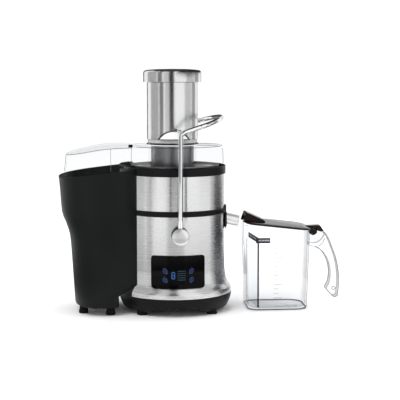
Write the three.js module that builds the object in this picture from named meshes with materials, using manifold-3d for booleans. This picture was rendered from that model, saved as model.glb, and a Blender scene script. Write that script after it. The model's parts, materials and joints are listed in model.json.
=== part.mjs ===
// A centrifugal juicer with its pulp bin and juice jug. Millimetres, +Z up, the front looks along -Y.
// Everything is drawn about the drive axis, and the whole model is then moved so that the origin
// is the middle of its footprint on the table.

import * as THREE from 'three';
import { mergeVertices } from 'three/addons/utils/BufferGeometryUtils.js';
import Module from 'manifold-3d';

const wasm = await Module();
wasm.setup();

// ---------- driving dimensions ----------

const GAP = 0.35; // running and fitting gap between neighbouring pieces
const ROUND = 36; // facets round the large turned pieces
const SMALL_ROUND = 16; // facets round shafts, knobs and bosses
const DRIVE_X = -44; // where the drive axis stands from the middle of the footprint

const BODY_R = 84; // brushed steel body
const BAND_R = 85.9; // black bands and lid ring
const SKIN = 1.4; // steel sheet
const FLARE_R = 95; // foot of the steel body
const FOOT = { r: 9, h: 5.6, x: 58, y: 56 };

const Z = {
  pan: 6,
  panFloor: 19,
  steelFoot: 31,
  steelTop: 165.7,
  bandTop: 174.3,
  shellTop: 231.7,
  ringTop: 245.8,
  lidFoot: 242.9,
  lidTop: 279.5,
  sleeveFoot: 290,
  sleeveTop: 385,
  deckFloor: 142.5,
  bowlFloor: 146.5,
};

const CHUTE = { x: -4, r: 41, wall: 2.6, foot: 200 };
const SLEEVE_R = 43;
const PUSHER_R = 36;
const CAP = { r: 49, foot: 385.6, edge: 402.5, top: 407.5 };
const LUG = { r: 30.8, z: 275.2 }; // half-moon lugs that the locking arm presses on

const SPOUT = { r: 10, bore: 8, slope: THREE.MathUtils.degToRad(12), tip: [108.3, 149.2], length: 27.8 };
const PIVOT = { x: 2.5, z: 136.5 };
const ARM = { r: 3.8, footY: 101, cornerY: 97, cornerZ: 303, endX: 78, endZ: 326.5 };

const PANEL = { halfWidth: 44.4, zLow: 48.5, zHigh: 102.5, round: 5, thick: 1.8 };
const BUTTON = { r: 4.9, angle: 14.4, upper: { z: 77, face: 86.9 }, lower: { z: 63, face: 88 } };

const BIN = {
  innerR: 91,
  tipX: -66,
  left: -196,
  rimZ: 244.3,
  rimSlope: 0.12,
  floor: 14,
  wall: 2.6,
};
const JUG = { y: 4, left: 120.5, right: 228, wall: 2.6, floor: 4, rimZ: 147.2, rimSlope: 0.113 };
const JUG_PIN = { x: 238, z: 129.5, r: 4 };

// ---------- materials ----------

const material = (color, roughness, metalness, extra = {}) =>
  new THREE.MeshStandardMaterial({ color, roughness, metalness, ...extra });

const STEEL = material(0xb9bac0, 0.34, 1);
const CHROME = material(0xe4e6ea, 0.08, 1);
const SATIN = material(0xd6d7da, 0.3, 0.9);
const BLACK = material(0x191a1b, 0.5, 0);
const BIN_BLACK = material(0x212423, 0.62, 0);
const GLOSS = material(0x060607, 0.12, 0);
const CLEAR = material(0xf2f6fa, 0.05, 0, { transparent: true, opacity: 0.25 });
const SMOKED = material(0x1d1210, 0.15, 0);
const RUBBER = material(0x141414, 0.85, 0);
const IRON = material(0x5a5c60, 0.5, 0.9);
const COPPER = material(0xb06a3b, 0.35, 1);
const BOARD = material(0x1f5a38, 0.6, 0);
const BLUE = material(0x1c5fd0, 0.4, 0);

// ---------- shape helpers ----------

/** A geometry as a manifold solid, turned right side out. */
function toSolid(geometry) {
  const bare = geometry.index ? geometry.toNonIndexed() : geometry.clone();
  bare.deleteAttribute('normal');
  bare.deleteAttribute('uv');
  const welded = mergeVertices(bare, 1e-4);
  const points = welded.attributes.position.array;
  const corners = Array.from(welded.index.array);
  const faces = [];
  for (let i = 0; i < corners.length; i += 3) {
    const [a, b, c] = corners.slice(i, i + 3);
    if (a !== b && b !== c && a !== c) faces.push([a, b, c]);
  }
  const at = (k) => new THREE.Vector3().fromArray(points, 3 * k);
  const volume = faces.reduce((sum, [a, b, c]) => sum + at(a).dot(at(b).cross(at(c))), 0);
  const turned = volume < 0 ? faces.map(([a, b, c]) => [a, c, b]) : faces;
  const mesh = new wasm.Mesh({
    numProp: 3,
    vertProperties: Float32Array.from(points),
    triVerts: Uint32Array.from(turned.flat()),
  });
  return new wasm.Manifold(mesh);
}

/** A manifold solid as a three.js geometry. */
function toGeometry(solid) {
  const mesh = solid.getMesh();
  const geometry = new THREE.BufferGeometry();
  geometry.setAttribute('position', new THREE.BufferAttribute(Float32Array.from(mesh.vertProperties), 3));
  geometry.setIndex(Array.from(mesh.triVerts));
  geometry.computeVertexNormals();
  return geometry;
}

const cut = (base, ...tools) => tools.reduce((solid, tool) => solid.subtract(tool), base);
const join = (base, ...others) => others.reduce((solid, other) => solid.add(other), base);

/** A turned solid about the Z axis, from a profile of [radius, height] that goes once round. */
function turned(profile, segments = ROUND) {
  const onAxis = profile[0][0] === 0 && profile.at(-1)[0] === 0;
  const points = (onAxis ? profile : [...profile, profile[0]]).map(([r, z]) => new THREE.Vector2(r, z));
  return toSolid(new THREE.LatheGeometry(points, segments).rotateX(Math.PI / 2));
}

const disc = (r, low, high, segments = SMALL_ROUND) =>
  turned([[0, low], [r, low], [r, high], [0, high]], segments);

const tube = (rOut, rIn, low, high, segments = SMALL_ROUND) =>
  turned([[rIn, low], [rOut, low], [rOut, high], [rIn, high]], segments);

/** A box from its low corner to its high corner. */
function block([x0, y0, z0], [x1, y1, z1]) {
  const box = new THREE.BoxGeometry(x1 - x0, y1 - y0, z1 - z0);
  return toSolid(box.translate((x0 + x1) / 2, (y0 + y1) / 2, (z0 + z1) / 2));
}

/** A round rod that starts at a point and runs along +Y. */
function rodY(r, x, z, y0, y1, segments = SMALL_ROUND) {
  const rod = new THREE.CylinderGeometry(r, r, y1 - y0, segments);
  return toSolid(rod.translate(x, (y0 + y1) / 2, z));
}

/** A flat outline in X and Z, pushed along Y from y0 to y1. */
function slabXZ(outline, y0, y1) {
  const shape = new THREE.Shape(outline.map(([x, z]) => new THREE.Vector2(x, z)));
  const geometry = new THREE.ExtrudeGeometry(shape, { depth: y1 - y0, bevelEnabled: false });
  return toSolid(geometry.rotateX(Math.PI / 2).translate(0, y1, 0));
}

/** A closed solid through rings of points with the same count, lowest ring first. */
function loft(rings) {
  const count = rings[0].length;
  const points = rings.flat();
  const faces = [];
  for (let level = 0; level + 1 < rings.length; level += 1) {
    for (let i = 0; i < count; i += 1) {
      const a = level * count + i;
      const b = level * count + ((i + 1) % count);
      faces.push(a, b, b + count, a, b + count, a + count);
    }
  }
  for (const level of [0, rings.length - 1]) {
    const flat = rings[level].map(([x, y]) => new THREE.Vector2(x, y));
    const caps = THREE.ShapeUtils.triangulateShape(flat, []);
    const offset = level * count;
    for (const [a, b, c] of caps) {
      faces.push(...(level === 0 ? [a, c, b] : [a, b, c]).map((k) => k + offset));
    }
  }
  const geometry = new THREE.BufferGeometry();
  geometry.setAttribute('position', new THREE.Float32BufferAttribute(points.flat(), 3));
  geometry.setIndex(faces);
  return toSolid(geometry);
}

/** The places of n copies round the drive axis. */
const around = (n, start = 0) => Array.from({ length: n }, (_, i) => start + (360 / n) * i);

const spun = (solid, degrees) => solid.rotate([0, 0, degrees]);

/** Draws a solid that stands on the XY plane along a horizontal radius: +Z becomes outwards. */
const facing = (solid, degreesFromFront) => spun(solid.rotate([90, 0, 0]), degreesFromFront);

const atPlace = (solid, x, y, z = 0) => solid.translate([x, y, z]);

// ---------- motor base ----------

const FEET = {
  foot_front_left: [-FOOT.x, -FOOT.y],
  foot_front_right: [FOOT.x, -FOOT.y],
  foot_rear_left: [-FOOT.x, FOOT.y],
  foot_rear_right: [FOOT.x, FOOT.y],
};

const MOTOR = {
  postRing: 58,
  postTop: 39.6,
  armTop: 44,
  stack: [70, 110],
  upper: 114,
  bearingR: 11,
  shaftR: 4,
  clear: 4.35,
};

function basePan() {
  const top = Z.steelFoot - GAP;
  const skirt = 83;
  const underside = 15.5;
  const pan = turned([
    [0, underside],
    [skirt, underside],
    [skirt, Z.pan],
    [skirt + 3, Z.pan],
    [90, 10],
    [94, 20],
    [FLARE_R + 0.6, 27],
    [FLARE_R + 0.6, top],
    [91.5, top],
    [88, Z.panFloor],
    [0, Z.panFloor],
  ]);
  const bosses = Object.values(FEET).map(([x, y]) => atPlace(disc(9.5, FOOT.h + GAP, 17), x, y));
  const posts = around(4, 45).map((a) =>
    spun(atPlace(disc(6, 18, MOTOR.postTop, 12), MOTOR.postRing, 0), a));
  const vents = around(8).map((a) => spun(block([28, -2.5, 14], [62, 2.5, 20]), a));
  const arch = [[-50, 4], [50, 4], [32, 15], [-32, 15]];
  const arches = [slabXZ(arch, -100, -58), slabXZ(arch, 58, 100)];
  return cut(join(pan, ...bosses, ...posts), ...vents, ...arches);
}

const foot = () => turned([[0, 0], [8.2, 0], [FOOT.r, 0.8], [FOOT.r, 3.5], [7.6, FOOT.h], [0, FOOT.h]], SMALL_ROUND);

const SPOUT_NOTCH = { half: 12.6, low: 140.8, high: 165.9 };
const GLAND = { x: -25, z: 66, r: 5.2 };

function lowerShell() {
  const shell = turned([
    [FLARE_R + 0.4, Z.steelFoot],
    [FLARE_R + 0.2, 36.5],
    [93.4, 41],
    [89.2, 46],
    [87, 51.5],
    [85.4, 60],
    [BODY_R, 74],
    [BODY_R, Z.steelTop],
    [BODY_R - SKIN, Z.steelTop],
    [BODY_R - SKIN, 74],
    [85.2, 52],
    [91.6, 41],
    [93.8, 36],
    [93.8, Z.steelFoot],
  ]);
  const { half, low } = SPOUT_NOTCH;
  return cut(
    shell,
    block([-36, -92, 54], [36, -60, 97]),
    block([60, -half, low], [100, half, Z.bandTop]),
    rodY(6, PIVOT.x, PIVOT.z, -90, -75),
    rodY(6, PIVOT.x, PIVOT.z, 75, 90),
    rodY(GLAND.r + GAP, GLAND.x, GLAND.z, 70, 95),
  );
}

function topDeck() {
  const inner = BODY_R - SKIN - 0.6;
  const deck = turned([
    [16, Z.deckFloor],
    [inner, Z.deckFloor],
    [inner, Z.steelTop + GAP],
    [BAND_R, Z.steelTop + GAP],
    [BAND_R, Z.bandTop],
    [79, Z.bandTop],
    [79, Z.deckFloor + 3.5],
    [16, Z.deckFloor + 3.5],
  ]);
  const { half, low, high } = SPOUT_NOTCH;
  return cut(deck, block([66, -half, low], [84, half, high]));
}

/** A solid drawn up from the spout's tip, laid along the spout towards the bowl. */
const alongSpout = (solid) =>
  atPlace(solid.rotate([0, THREE.MathUtils.radToDeg(SPOUT.slope) - 90, 0]), SPOUT.tip[0], 0, SPOUT.tip[1]);

function spoutBezel() {
  const half = 20;
  const plate = tube(BAND_R + 2.9, BAND_R + 0.4, 137.5, 177, ROUND).intersect(
    block([60, -half, 130], [100, half, 180]));
  const { half: notch, low, high } = SPOUT_NOTCH;
  const collar = block([83, -notch + GAP, low + GAP], [87.5, notch - GAP, high - 0.5]);
  return cut(join(plate, collar), alongSpout(disc(SPOUT.r + GAP, 0, 40)));
}

const juiceSpout = () => alongSpout(tube(SPOUT.r, SPOUT.bore, 0, SPOUT.length));

function pivotBoss() {
  const boss = join(disc(14, 84.7, 96.8), disc(5.6, 74, 85));
  return cut(boss, disc(MOTOR.clear, 69, 98));
}

const cordGland = () => cut(
  join(
    rodY(GLAND.r, GLAND.x, GLAND.z, 72, 97, 16),
    rodY(GLAND.r + 3, GLAND.x, GLAND.z, 85, 88, 16),
  ),
  rodY(3, GLAND.x, GLAND.z, 70, 99, 16),
);

// ---------- control panel ----------

function roundedRectangle(halfWidth, low, high, r) {
  const shape = new THREE.Shape();
  shape.moveTo(-halfWidth + r, low);
  shape.absarc(halfWidth - r, low + r, r, -Math.PI / 2, 0);
  shape.absarc(halfWidth - r, high - r, r, 0, Math.PI / 2);
  shape.absarc(-halfWidth + r, high - r, r, Math.PI / 2, Math.PI);
  shape.absarc(-halfWidth + r, low + r, r, Math.PI, Math.PI * 1.5);
  return shape;
}

const BUTTONS = {
  button_upper_left: [-BUTTON.angle, BUTTON.upper],
  button_upper_right: [BUTTON.angle, BUTTON.upper],
  button_lower_left: [-BUTTON.angle, BUTTON.lower],
  button_lower_right: [BUTTON.angle, BUTTON.lower],
};

function controlPanel() {
  const back = [[BODY_R + 0.4, 104], [BODY_R + 0.4, 74.4], [85.8, 60.3], [87.4, 51.7], [88.9, 47.3]];
  const face = back.map(([r, z]) => [r + PANEL.thick, z]).reverse();
  const outline = roundedRectangle(PANEL.halfWidth, PANEL.zLow, PANEL.zHigh, PANEL.round);
  const slab = new THREE.ExtrudeGeometry(outline, { depth: 40, bevelEnabled: false, curveSegments: 3 });
  const window = toSolid(slab.rotateX(Math.PI / 2).translate(0, -60, 0));
  const holes = Object.values(BUTTONS).map(([angle, { z }]) =>
    atPlace(facing(disc(BUTTON.r + GAP, 80, 92), angle), 0, 0, z));
  return cut(turned([...back, ...face]).intersect(window), ...holes);
}

function button(angle, { z, face }) {
  const { r } = BUTTON;
  const cap = turned([[0, 79.5], [r, 79.5], [r, face - 0.6], [r - 0.7, face], [0, face]], SMALL_ROUND);
  return atPlace(facing(cap, angle), 0, 0, z);
}

const displayModule = () => block([-12, -80.4, 59], [14, -74, 82]);

function controlBoard() {
  const board = block([-34, -72.6, 55], [34, -71, 96]);
  const switches = Object.values(BUTTONS).map(([angle, { z }]) => {
    const x = 78.7 * Math.sin(THREE.MathUtils.degToRad(angle));
    return rodY(2, x, z, -74.6, -72, 10);
  });
  return join(board, ...switches);
}

// ---------- motor and drive ----------

const bearing = (low) => tube(MOTOR.bearingR, MOTOR.clear, low + 0.2, low + 5.8, 20);

function bracketLower() {
  const hub = tube(15, MOTOR.bearingR + 0.4, 40, 46);
  const arms = around(4, 45).map((a) => spun(block([13, -6, 40], [65, 6, MOTOR.armTop]), a));
  return join(hub, ...arms);
}

function bracketUpper() {
  const hub = tube(15, MOTOR.bearingR + 0.4, MOTOR.upper, MOTOR.upper + 6);
  const arms = around(4, 45).map((a) => spun(block([13, -5, MOTOR.upper], [58, 5, MOTOR.upper + 4]), a));
  const legs = around(4, 45).map((a) =>
    spun(atPlace(disc(4, MOTOR.armTop + 0.4, MOTOR.upper + 2, 10), 53, 0), a));
  return join(hub, ...arms, ...legs);
}

function motorStator() {
  const [low, high] = MOTOR.stack;
  return tube(47, 24.2, low, high, 32).intersect(block([-42, -42, low], [42, 42, high]));
}

const motorRotor = () => tube(23, MOTOR.clear, MOTOR.stack[0] - 2, MOTOR.stack[1] + 2, 20);

const brushHolder = (side) => (side < 0
  ? block([-34, -4.5, 54], [-11.6, 4.5, 62])
  : block([11.6, -4.5, 54], [34, 4.5, 62]));

function coolingFan() {
  const hub = tube(8, MOTOR.clear, 123, 133, 16);
  const blade = atPlace(block([7, -0.9, -5], [42, 0.9, 5]).rotate([12, 0, 0]), 0, 0, 128);
  return join(hub, ...around(9).map((a) => spun(blade, a)));
}

function filterBasket() {
  return turned([
    [4.4, 183],
    [47, 183],
    [48.6, 184.8],
    [72.6, 241],
    [75, 241],
    [75, 247],
    [73.8, 247],
    [73.8, 242.4],
    [71.6, 242.4],
    [46.8, 184.6],
    [4.4, 184.6],
  ]);
}

function cuttingDisc() {
  const plate = tube(44.5, 5, 185, 186.6, 32);
  const teeth = [16, 26, 36].flatMap((r, row) => around(8, row * 15).map((a) => {
    const tooth = new THREE.ConeGeometry(1.8, 2.6, 4).rotateX(Math.PI / 2).translate(r, 0, 187.6);
    return spun(toSolid(tooth), a);
  }));
  return join(plate, ...teeth);
}

const basketNut = () => turned(
  [[0, 190.2], [4.4, 190.2], [4.4, 187.2], [9, 187.2], [8, 192.4], [0, 194.2]], SMALL_ROUND);

// ---------- bowl, lid and feed chute ----------

function juiceBowl() {
  const top = 242;
  const bowl = turned([
    [20, Z.bowlFloor],
    [74, Z.bowlFloor],
    [78.4, 152],
    [78.4, top],
    [76, top],
    [76, 154],
    [72, Z.bowlFloor + 3],
    [22.5, Z.bowlFloor + 3],
    [22.5, 165],
    [20, 165],
  ]);
  return cut(bowl, alongSpout(disc(SPOUT.bore, 20, 36)));
}

function bowlRimRing() {
  const low = Z.shellTop + GAP;
  const ledge = 242.5;
  return turned([
    [79.2, low],
    [BAND_R, low],
    [BAND_R, Z.ringTop],
    [84.1, Z.ringTop],
    [84.1, ledge],
    [79.2, ledge],
  ]);
}

function pulpLip() {
  const reach = THREE.MathUtils.degToRad(34);
  const shape = new THREE.Shape();
  shape.absarc(0, 0, 94, Math.PI - reach, Math.PI + reach, false);
  shape.absarc(0, 0, 84.3, Math.PI + reach, Math.PI - reach, true);
  const geometry = new THREE.ExtrudeGeometry(shape, { depth: 1.9, bevelEnabled: false, curveSegments: 12 });
  return toSolid(geometry.translate(0, 0, Z.ringTop + GAP));
}

/** The left half of a plan outline: front edge, round left end and back edge, from +X round to +X. */
function lobe(left, half, tipX) {
  const middle = -118;
  const front = [tipX, (tipX + middle) / 2].map((x) => [x, -half + 13 * ((x - middle) / 43.5) ** 2]);
  const end = Array.from({ length: 13 }, (_, i) => {
    const t = Math.PI * (i / 12);
    const c = Math.sin(t);
    return [middle - (middle - left) * c ** 0.72, -half * Math.sign(Math.cos(t)) * Math.abs(Math.cos(t)) ** 0.8];
  });
  const back = front.map(([x, y]) => [x, -y]).reverse();
  return [...front, ...end, ...back].reverse();
}

/** One level of the pulp bin, wrapped round the drive axis. */
function binRing({ left, half, innerR, tipX, z }, wall = 0) {
  const r = innerR + wall;
  const tip = tipX - wall * 1.5;
  const corner = tip - (innerR > 100 ? 2 : 7.9);
  const start = Math.acos(tip / r);
  const wrap = Array.from({ length: 7 }, (_, i) => {
    const a = -start + (2 * start - 2 * Math.PI) * (i / 6);
    return [r * Math.cos(a), r * Math.sin(a)];
  });
  const outline = [...lobe(left + wall, half - wall, corner), ...wrap];
  const height = typeof z === 'function' ? z : () => z;
  return outline.map(([x, y]) => [x, y, height(x)]);
}

const binRim = (x) => BIN.rimZ - BIN.rimSlope * (BIN.tipX - x);

/** The bin's levels from the floor up: a foot clear of the flared base, then a step out near the top. */
function binLevels(floor, rim) {
  const foot = { innerR: 112, tipX: -97 };
  const trunk = { innerR: BIN.innerR, tipX: BIN.tipX - 0.6 };
  return [
    { ...foot, left: -167, half: 71, z: floor },
    { ...foot, left: -170.5, half: 74.5, z: floor + 3 },
    { ...foot, left: -171.6, half: 76, z: floor + 19 },
    { ...trunk, left: -172.6, half: 77, z: floor + 37 },
    { ...trunk, left: -177, half: 81, z: 119 },
    { ...trunk, left: -178.6, half: 82, z: 133 },
    { ...trunk, left: -185.2, half: 83.5, z: 153 },
    { ...trunk, left: -191.2, half: 84.5, z: 167 },
    { ...trunk, left: BIN.left, half: 88, z: rim },
  ];
}

function pulpBin() {
  const outer = loft(binLevels(BIN.floor, binRim).map((level) => binRing(level)));
  const above = (x) => binRim(x) + 5;
  const inner = loft(binLevels(BIN.floor + 3, above).map((level) => binRing(level, BIN.wall)));
  const footing = [[0, 0], [6.4, 0], [7, 0.7], [7, 4], [5.6, 7], [5.6, BIN.floor + 1], [0, BIN.floor + 1]];
  const feet = [[-156, -32], [-111, -52], [-156, 32], [-111, 52]].map(([x, y]) =>
    atPlace(turned(footing, 16), x, y));
  return join(cut(outer, inner), ...feet);
}

/** The part of the lid that covers the bin, shrunk by a wall. */
function lidHood(wall) {
  const levels = [
    { left: -190.4, half: 84, z: 205 },
    { left: -181, half: 79.5, z: 290 },
  ];
  const lobes = loft(levels.map(({ left, half, z }) => [
    ...lobe(left + wall, half - wall, -74.5),
    [-40, -half + 26 + wall],
    [-40, half - 26 - wall],
  ].map(([x, y]) => [x, y, z])));
  const foot = (x) => binRim(x) + 0.9 - wall * 8;
  const crown = [[-40, 279.5], [-95, 279.5], [-108, 279.1], [-133, 276], [-149, 273], [-170, 268.8], [-200, 262]];
  const profile = [[-200, foot(-200)], [-40, foot(-40)], ...crown.map(([x, z]) => [x, z - wall])];
  return lobes.intersect(slabXZ(profile, -110, 110));
}

const lugShape = (r) => rodY(r, CHUTE.x, LUG.z, -60, 60, 32);

function lid() {
  const wall = 2.6;
  const drum = turned([[0, Z.lidFoot], [83.3, Z.lidFoot], [81.8, 277.3], [79.8, Z.lidTop], [0, Z.lidTop]]);
  const inside = turned([[0, 230], [80.9, 230], [79.2, 275.5], [77.8, Z.lidTop - wall], [0, Z.lidTop - wall]]);
  const shell = cut(join(drum, lidHood(0)), inside, lidHood(wall));
  const chute = join(
    disc(CHUTE.r, CHUTE.foot, 384.4, ROUND),
    disc(SLEEVE_R, Z.lidTop - 1, 284, ROUND),
  );
  const lugs = tube(47, CHUTE.r - 1, 290.3, 310, ROUND).intersect(
    atPlace(lugShape(LUG.r - 2.4), -CHUTE.x, 0));
  const bore = disc(CHUTE.r - CHUTE.wall, CHUTE.foot - 5, 390, ROUND);
  const feed = [chute, lugs, bore].map((solid) => atPlace(solid, CHUTE.x, 0));
  return cut(join(shell, feed[0], feed[1]), feed[2]);
}

function chuteSleeve() {
  const sleeve = atPlace(tube(SLEEVE_R, SLEEVE_R - 1.4, Z.sleeveFoot, Z.sleeveTop, ROUND), CHUTE.x, 0);
  return cut(sleeve, lugShape(LUG.r));
}

// ---------- food pusher ----------

const pusherTube = () => turned([
  [0, 203], [PUSHER_R, 203], [PUSHER_R, 397.5], [PUSHER_R - 1.4, 397.5], [PUSHER_R - 1.4, 204.4], [0, 204.4],
]);

const pusherCap = () => turned([
  [0, CAP.top],
  [24, CAP.top - 0.4],
  [41, CAP.top - 1.6],
  [47.3, CAP.top - 2.9],
  [CAP.r, CAP.edge],
  [CAP.r, CAP.foot],
  [CAP.r - 1.3, CAP.foot],
  [CAP.r - 1.3, CAP.edge - 0.8],
  [46, CAP.top - 4.6],
  [0, CAP.top - 2],
]);

const pusherCore = () => turned([
  [0, 398], [PUSHER_R + GAP, 398], [PUSHER_R + GAP, CAP.foot], [47.3, CAP.foot], [47.3, 401], [0, 402.4],
]);

// ---------- locking arm ----------

/** The arm's centre line: up the front leg, round the grip and down the rear leg. */
function armLine() {
  const { footY, cornerY, cornerZ, endX, endZ } = ARM;
  const cornerX = PIVOT.x + 1.5;
  const rise = (endZ - cornerZ) / (endX - cornerX);
  const grip = Array.from({ length: 13 }, (_, i) => {
    const t = Math.PI * (i / 12 - 0.5);
    const x = 34 + (endX - 34) * Math.cos(t);
    return new THREE.Vector3(x, 88 * Math.sin(t), cornerZ + rise * (x - cornerX));
  });
  const leg = (side) => [
    new THREE.Vector3(PIVOT.x, side * footY, PIVOT.z + 5),
    new THREE.Vector3(PIVOT.x + 0.7, side * (footY + cornerY) / 2, (PIVOT.z + cornerZ) / 2),
    new THREE.Vector3(cornerX - 0.2, side * cornerY, cornerZ - 9),
    new THREE.Vector3(cornerX + 2, side * (cornerY - 0.4), cornerZ - 1.2),
    new THREE.Vector3(cornerX + 10, side * (cornerY - 2), cornerZ + 10 * rise),
  ];
  return new THREE.CatmullRomCurve3([...leg(-1), ...grip, ...leg(1).reverse()], false, 'centripetal');
}

function lockingArm() {
  const section = new THREE.Shape();
  section.absarc(0, 0, ARM.r, 0, Math.PI * 2);
  const rod = new THREE.ExtrudeGeometry(section, {
    steps: 54, extrudePath: armLine(), curveSegments: 4, bevelEnabled: false,
  });
  const hookZ = 306.9;
  const stem = (side) => block([0.2, side > 0 ? 92 : -98, 300], [5.4, side > 0 ? 98 : -92, 308]);
  return cut(
    join(
      toSolid(rod),
      facing(atPlace(disc(8.6, 97.4, 104.9), PIVOT.x, PIVOT.z), 0),
      facing(atPlace(disc(8.6, 97.4, 104.9), -PIVOT.x, PIVOT.z), 180),
      stem(-1),
      stem(1),
      rodY(2.6, 0.8, hookZ, -97, -44, 12),
      rodY(2.6, 0.8, hookZ, 44, 97, 12),
    ),
    rodY(MOTOR.clear, PIVOT.x, PIVOT.z, -110, 110),
  );
}

/** The cap and stem that the arm turns on, drawn with its stem towards the drive axis. */
const armKnob = () => turned([
  [0, 76], [MOTOR.shaftR, 76], [MOTOR.shaftR, 105.3], [13.2, 105.3], [14, 106.2],
  [14, 109.6], [12.6, 111.3], [8, 112.3], [0, 112.6],
]);

// ---------- juice jug ----------

const jugRim = (x) => (x < 124
  ? JUG.rimZ - 0.62 * (124 - x)
  : JUG.rimZ - JUG.rimSlope * (x - 124));

/** A rounded rectangle in plan with a pouring lip on its left, counter-clockwise. */
function jugRing({ left, right, half, lip, z }, wall = 0) {
  const [x0, x1, h] = [left + wall, right - wall, half - wall];
  const arc = (cx, cy, r, from) => Array.from({ length: 5 }, (_, i) => {
    const a = from + (Math.PI / 2) * (i / 4);
    return [cx + r * Math.cos(a), cy + r * Math.sin(a)];
  });
  const [rRight, rLeft] = [24 - wall, 18 - wall];
  const spout = [22, 15, 7.5, 0, -7.5, -15, -22].map((y) =>
    [x0 - lip * Math.cos((Math.PI / 2) * (y / 22)) ** 2, y]);
  const outline = [
    ...arc(x1 - rRight, -h + rRight, rRight, -Math.PI / 2),
    ...arc(x1 - rRight, h - rRight, rRight, 0),
    ...arc(x0 + rLeft, h - rLeft, rLeft, Math.PI / 2),
    ...spout,
    ...arc(x0 + rLeft, -h + rLeft, rLeft, Math.PI),
  ];
  const height = typeof z === 'function' ? z : () => z;
  return outline.map(([x, y]) => [x, y + JUG.y, height(x)]);
}

function jugLevels(floor, rim) {
  return [
    { left: JUG.left + 3.4, right: 222, half: 42.6, lip: 0, z: floor },
    { left: JUG.left + 0.8, right: 224.8, half: 45.6, lip: 0, z: floor + 3.5 },
    { left: JUG.left - 0.2, right: 226.4, half: 47.2, lip: 0, z: floor + 58 },
    { left: JUG.left - 0.8, right: 227.3, half: 48, lip: 2, z: floor + 88 },
    { left: JUG.left - 1.4, right: 228, half: 49, lip: 6.6, z: floor + 116 },
    { left: JUG.left - 1.8, right: JUG.right + 0.6, half: 50, lip: 12.4, z: rim },
  ];
}

function jug() {
  const outer = loft(jugLevels(0, jugRim).map((level) => jugRing(level)));
  const inner = loft(jugLevels(JUG.floor, (x) => jugRim(x) + 4).map((level) => jugRing(level, JUG.wall)));
  return cut(outer, inner);
}

const TAB_HALF = 6.3;
const HINGE_SLOT = 7;
const HINGE_SWEEP = 21; // room for the lid's tail as it swings
const GRIP_HALF = 10.5;

function jugHandle() {
  const lugTop = Array.from({ length: 6 }, (_, i) => {
    const a = THREE.MathUtils.degToRad(125 - 30 * i);
    return [JUG_PIN.x + 6.6 * Math.cos(a), JUG_PIN.z + 6.6 * Math.sin(a)];
  });
  const outer = [[259.5, 127], [266, 115], [271.5, 101], [277.5, 85], [281.6, 68], [283.6, 50], [283.6, 34], [281.5, 17]];
  const foot = [[276, 14.6], [270.6, 17.6], [264, 25], [260.6, 31]];
  const inner = [[264.8, 39], [267, 50], [266.8, 64], [263.4, 78], [257, 90], [250, 97.6], [243, 101.2]];
  const outline = [[229.6, 106], [229.4, 127], ...lugTop, [252, 127.6], ...outer, ...foot, ...inner];
  return cut(
    slabXZ(outline, JUG.y - GRIP_HALF, JUG.y + GRIP_HALF),
    rodY(HINGE_SWEEP, JUG_PIN.x, JUG_PIN.z, JUG.y - HINGE_SLOT, JUG.y + HINGE_SLOT, 40),
    block([217, JUG.y - HINGE_SLOT, JUG_PIN.z], [JUG_PIN.x + HINGE_SWEEP, JUG.y + HINGE_SLOT, 145]),
    rodY(JUG_PIN.r + GAP, JUG_PIN.x, JUG_PIN.z, JUG.y - 20, JUG.y + 20),
  );
}

function frothSeparator() {
  const blade = block([-0.9, -39, 4.8], [0.9, 37, 123.5]).rotate([0, 0, 5.3]);
  const clips = [-1, 1].map((side) => {
    const y = side * 40.6;
    return block([134 + (side > 0 ? -5.5 : 0), y - 0.9, 115], [158.5, y + 0.9, 123.5]);
  });
  const corners = [
    block([134.6, -41.5, 115], [140.4, -36, 123.5]),
    block([128.5, 33, 115], [133, 41.5, 123.5]),
  ];
  return atPlace(join(atPlace(blade, 135.2, 0), ...clips, ...corners), 0, JUG.y);
}

const jugPin = () => rodY(JUG_PIN.r, JUG_PIN.x, JUG_PIN.z, JUG.y - 12, JUG.y + 12);

/** The jug's lid: a slightly domed plate, a hood that catches the juice and a thumb tab at the hinge. */
function jugLid() {
  const shape = { left: 117.6, right: 229.4, half: 50.8, lip: 0 };
  const over = (rise) => (x) => JUG.rimZ - JUG.rimSlope * (x - 124) + 0.5 + rise;
  const plate = loft([
    jugRing({ ...shape, z: over(0) }),
    jugRing({ ...shape, z: over(1.8) }),
    jugRing({ ...shape, z: over(3.2) }, 9),
  ]);
  const hood = [[114.9, 148], [120.3, 163.8], [124, 163.6], [150, 152], [153, 149], [153, 146.4]];
  const hollow = [[110, 140], [110, 151], [121.4, 161], [123.6, 160.8], [144, 152], [144, 140]];
  const neck = [
    [226, 136.6], [226, 139.4], [240, 139.9], [249.5, 140.4], [256.7, 129.8],
    [252, 128.6], [244, 131], [238, 129.5], [231.5, 136],
  ].reverse();
  const [front, rear] = [JUG.y - TAB_HALF, JUG.y + TAB_HALF];
  return cut(
    join(
      plate,
      slabXZ(hood, JUG.y - 22, JUG.y + 22),
      slabXZ(neck, front, rear),
      rodY(6.6, JUG_PIN.x, JUG_PIN.z, front, rear),
    ),
    slabXZ(hollow, JUG.y - 19.6, JUG.y + 19.6),
    rodY(JUG_PIN.r + GAP, JUG_PIN.x, JUG_PIN.z, JUG.y - 20, JUG.y + 20),
  );
}

// ---------- the assembly ----------

function piece(name, solid, look) {
  const mesh = new THREE.Mesh(toGeometry(solid), look);
  mesh.name = name;
  return mesh;
}

function group(...children) {
  const holder = new THREE.Group();
  holder.add(...children);
  return holder;
}

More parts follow.
